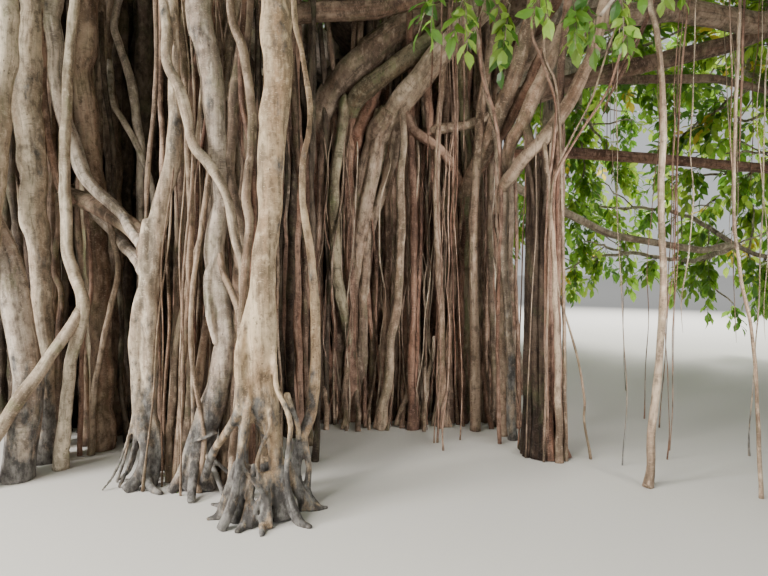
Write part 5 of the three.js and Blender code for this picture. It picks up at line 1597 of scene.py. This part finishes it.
def add_leaves(gathered, leaves, chosen):
    """Adds the chosen leaves, each along its own way ahead and facing its own way up."""
    shape, triangles = leaf_shape()
    ahead = unit(leaves.ahead[chosen])
    side = unit(np.cross(ahead, leaves.facing[chosen]))
    normal = np.cross(side, ahead)
    points = (shape[None, :, :1] * side[:, None] + shape[None, :, 1:2] * ahead[:, None]
              + shape[None, :, 2:] * normal[:, None])
    points = points * leaves.lengths[chosen][:, None, None] + leaves.places[chosen][:, None]
    offsets = (np.arange(len(chosen)) * len(shape))[:, None, None]
    gathered.add(points, [(triangles[None] + offsets).reshape(-1, 3)],
                 tones=np.repeat(leaves.tones[chosen], len(shape)))


def grow_twigs(rng, hubs, hub_masses, before):
    """Twigs out of each hub, away from the mass's middle and its limb, and drooping in a weeping mass."""
    centres = np.array([(Vector(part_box(node)[0]) + Vector(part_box(node)[1])) / 2 for node in MASSES])
    near_mass = MASSES.index(NEAR_MASS)
    sprays, before_sprays = hang_near_sprays()
    hubs = np.vstack([hubs, sprays])
    before = np.vstack([before, before_sprays])
    hub_masses = np.append(hub_masses, np.full(len(sprays), near_mass))
    weeps = np.array(["weeping" in node for node in MASSES])[hub_masses]
    count = rng.poisson(TWIGS_PER_HUB, len(hubs)).clip(2, 6)
    count[-len(sprays):] = 2
    hub = np.repeat(np.arange(len(hubs)), count)
    near = (hub_masses == near_mass)[hub]
    outward = unit(hubs[hub] - centres[hub_masses[hub]])
    onward = unit(hubs[hub] - before[hub])
    droop = np.where(weeps[hub], 0.75, 0.12)
    scatter = 0.75 * rng.normal(0, 0.6, (len(hub), 3))
    aim = unit(0.55 * outward + 0.45 * onward + scatter - droop[:, None] * UP)
    length = rng.uniform(0.28, 0.55, len(hub)) * np.where(near, 0.5, 1.0)
    sag = (np.where(weeps[hub], 0.4, 0.16) * length)[:, None] * UP
    root = hubs[hub]
    knee = root + aim * length[:, None] * 0.5 - 0.2 * sag
    tip = root + aim * length[:, None] - sag
    twigs = Gathered()
    radii = TWIG_RADIUS * np.tile([1, 0.75, 0.35], (len(hub), 1))
    add_tubes(twigs, np.stack([root, knee, tip], axis=1), radii, 3, tones=rng.uniform(0.2, 0.7, len(hub)))
    mesh_piece("twigs_crown", twigs, BARK["olive"], MASSES)
    return root, knee, tip, near


def place_leaves(rng, root, knee, tip, near):
    """Leaves in a spiral along each twig, the last one at its tip. Each spray has its own tint and tone."""
    shares = [look["share"] for look in LEAF_TINTS.values()]
    tint = rng.choice(len(LEAF_TINTS), len(root), p=shares)
    spray = np.repeat(np.arange(len(root)), LEAVES_PER_TWIG)
    step = np.tile(np.arange(LEAVES_PER_TWIG), len(root))
    share = (0.22 + 0.78 * step / (LEAVES_PER_TWIG - 1)) + rng.uniform(-0.03, 0.03, len(spray))
    first = share < 0.5
    part = np.where(first, share / 0.5, (share - 0.5) / 0.5).clip(0, 1)[:, None]
    places = np.where(first[:, None], root[spray] + part * (knee - root)[spray],
                      knee[spray] + part * (tip - knee)[spray])
    along = unit((tip - root)[spray])
    reference = np.where(np.abs(along[:, 2:]) < 0.9, UP, np.array([1.0, 0.0, 0.0]))
    across = unit(np.cross(along, reference))
    above = np.cross(across, along)
    turn = step * LEAF_TURN + rng.uniform(0, FULL_TURN, len(root))[spray] + rng.normal(0, 0.3, len(spray))
    radial = np.cos(turn)[:, None] * across + np.sin(turn)[:, None] * above
    last = (step == LEAVES_PER_TWIG - 1)[:, None]
    ahead = np.where(last, along, 0.55 * along + 0.85 * radial) - 0.28 * UP
    ahead = ahead + rng.normal(0, 0.14, (len(spray), 3))
    facing = UP + 0.35 * along + rng.normal(0, 0.35, (len(spray), 3))
    whole = np.where(near[spray], NEAR_LEAF_LENGTH, LEAF_LENGTH)
    lengths = whole * rng.uniform(0.75, 1.15, len(spray))
    tones = rng.uniform(0.15, 0.85, len(root))[spray] + rng.normal(0, 0.08, len(spray))
    return SimpleNamespace(tints=tint[spray], places=places, ahead=ahead, facing=facing, lengths=lengths,
                           tones=tones)


def make_foliage(hubs, hub_masses, before):
    rng = stream("foliage")
    leaves = place_leaves(rng, *grow_twigs(rng, hubs, hub_masses, before))
    triangles_each = len(leaf_shape()[1])
    for index, (name, look) in enumerate(LEAF_TINTS.items()):
        material = leaf_material(f"leaf_{name}", look["face"], look["glow"])
        chosen = np.nonzero(leaves.tints == index)[0]
        parts = math.ceil(len(chosen) * triangles_each / MOST_TRIANGLES)
        for number, some in enumerate(np.array_split(chosen, parts)):
            gathered = Gathered()
            add_leaves(gathered, leaves, some)
            mesh_piece(f"leaves_{name}_{number + 1}", gathered, material, MASSES, smooth=False)


# Stage, light and camera


FLOOR_HALF = 150.0
FLOOR_DROP = 0.002
# Area lights: place, target, size, power, colour and spread in degrees
LIGHTS = {
    "key": ((-9.0, -12.0, 15.0), (0.0, 0.0, 3.0), 7.0, 5200.0, (1.0, 0.96, 0.9), 180.0),
    "under_crown": ((-8.5, -7.2, 3.8), (-0.8, -2.4, 1.6), 2.2, 1120.0, (1.0, 0.97, 0.93), 180.0),
    "open_side": ((3.6, -7.5, 2.2), (0.3, -1.2, 1.7), 2.0, 50.0, (1.0, 0.97, 0.93), 46.0),
    "back_rim": ((9.0, 12.0, 9.0), (1.0, 0.0, 3.0), 8.0, 4600.0, (1.0, 0.98, 0.92), 180.0),
}


def make_stage():
    corners = [(x * FLOOR_HALF, y * FLOOR_HALF, 0) for x, y in ((-1, -1), (1, -1), (1, 1), (-1, 1))]
    mesh = bpy.data.meshes.new("floor")
    mesh.from_pydata(corners, [], [(0, 1, 2, 3)])
    mesh.materials.append(plain_material("floor_pale", (0.64, 0.62, 0.59), 0.9))
    plane = bpy.data.objects.new("floor", mesh)
    plane.location.z = -FLOOR_DROP
    bpy.context.scene.collection.objects.link(plane)


def make_lights():
    world = bpy.data.worlds.new("studio")
    world.use_nodes = True
    background = world.node_tree.nodes["Background"]
    background.inputs["Color"].default_value = colour(0.95, 0.98, 1.0)
    background.inputs["Strength"].default_value = 0.66
    bpy.context.scene.world = world
    for name, (place, target, size, power, tint, spread_deg) in LIGHTS.items():
        data = bpy.data.lights.new(name, "AREA")
        data.spread = math.radians(spread_deg)
        data.size = size
        data.energy = power
        data.color = tint
        lamp = bpy.data.objects.new(name, data)
        lamp.location = place
        lamp.rotation_euler = (Vector(target) - Vector(place)).to_track_quat("-Z", "Y").to_euler()
        bpy.context.scene.collection.objects.link(lamp)


def make_camera():
    data = bpy.data.cameras.new("camera")
    data.lens = LENS_MM
    data.sensor_width = 36.0
    data.clip_start = 0.05
    data.clip_end = 500.0
    camera = bpy.data.objects.new("camera", data)
    camera.location = EYE
    camera.rotation_euler = (math.radians(90.0 - TILT_DOWN_DEG), 0.0, 0.0)
    bpy.context.scene.collection.objects.link(camera)
    bpy.context.scene.camera = camera


make_camera()
make_lights()
make_stage()
make_limbs()
make_front_stems()
make_trunks()
make_column()
make_free_roots()
make_curtains()
make_wall_toes()
make_foliage(*grow_crown())
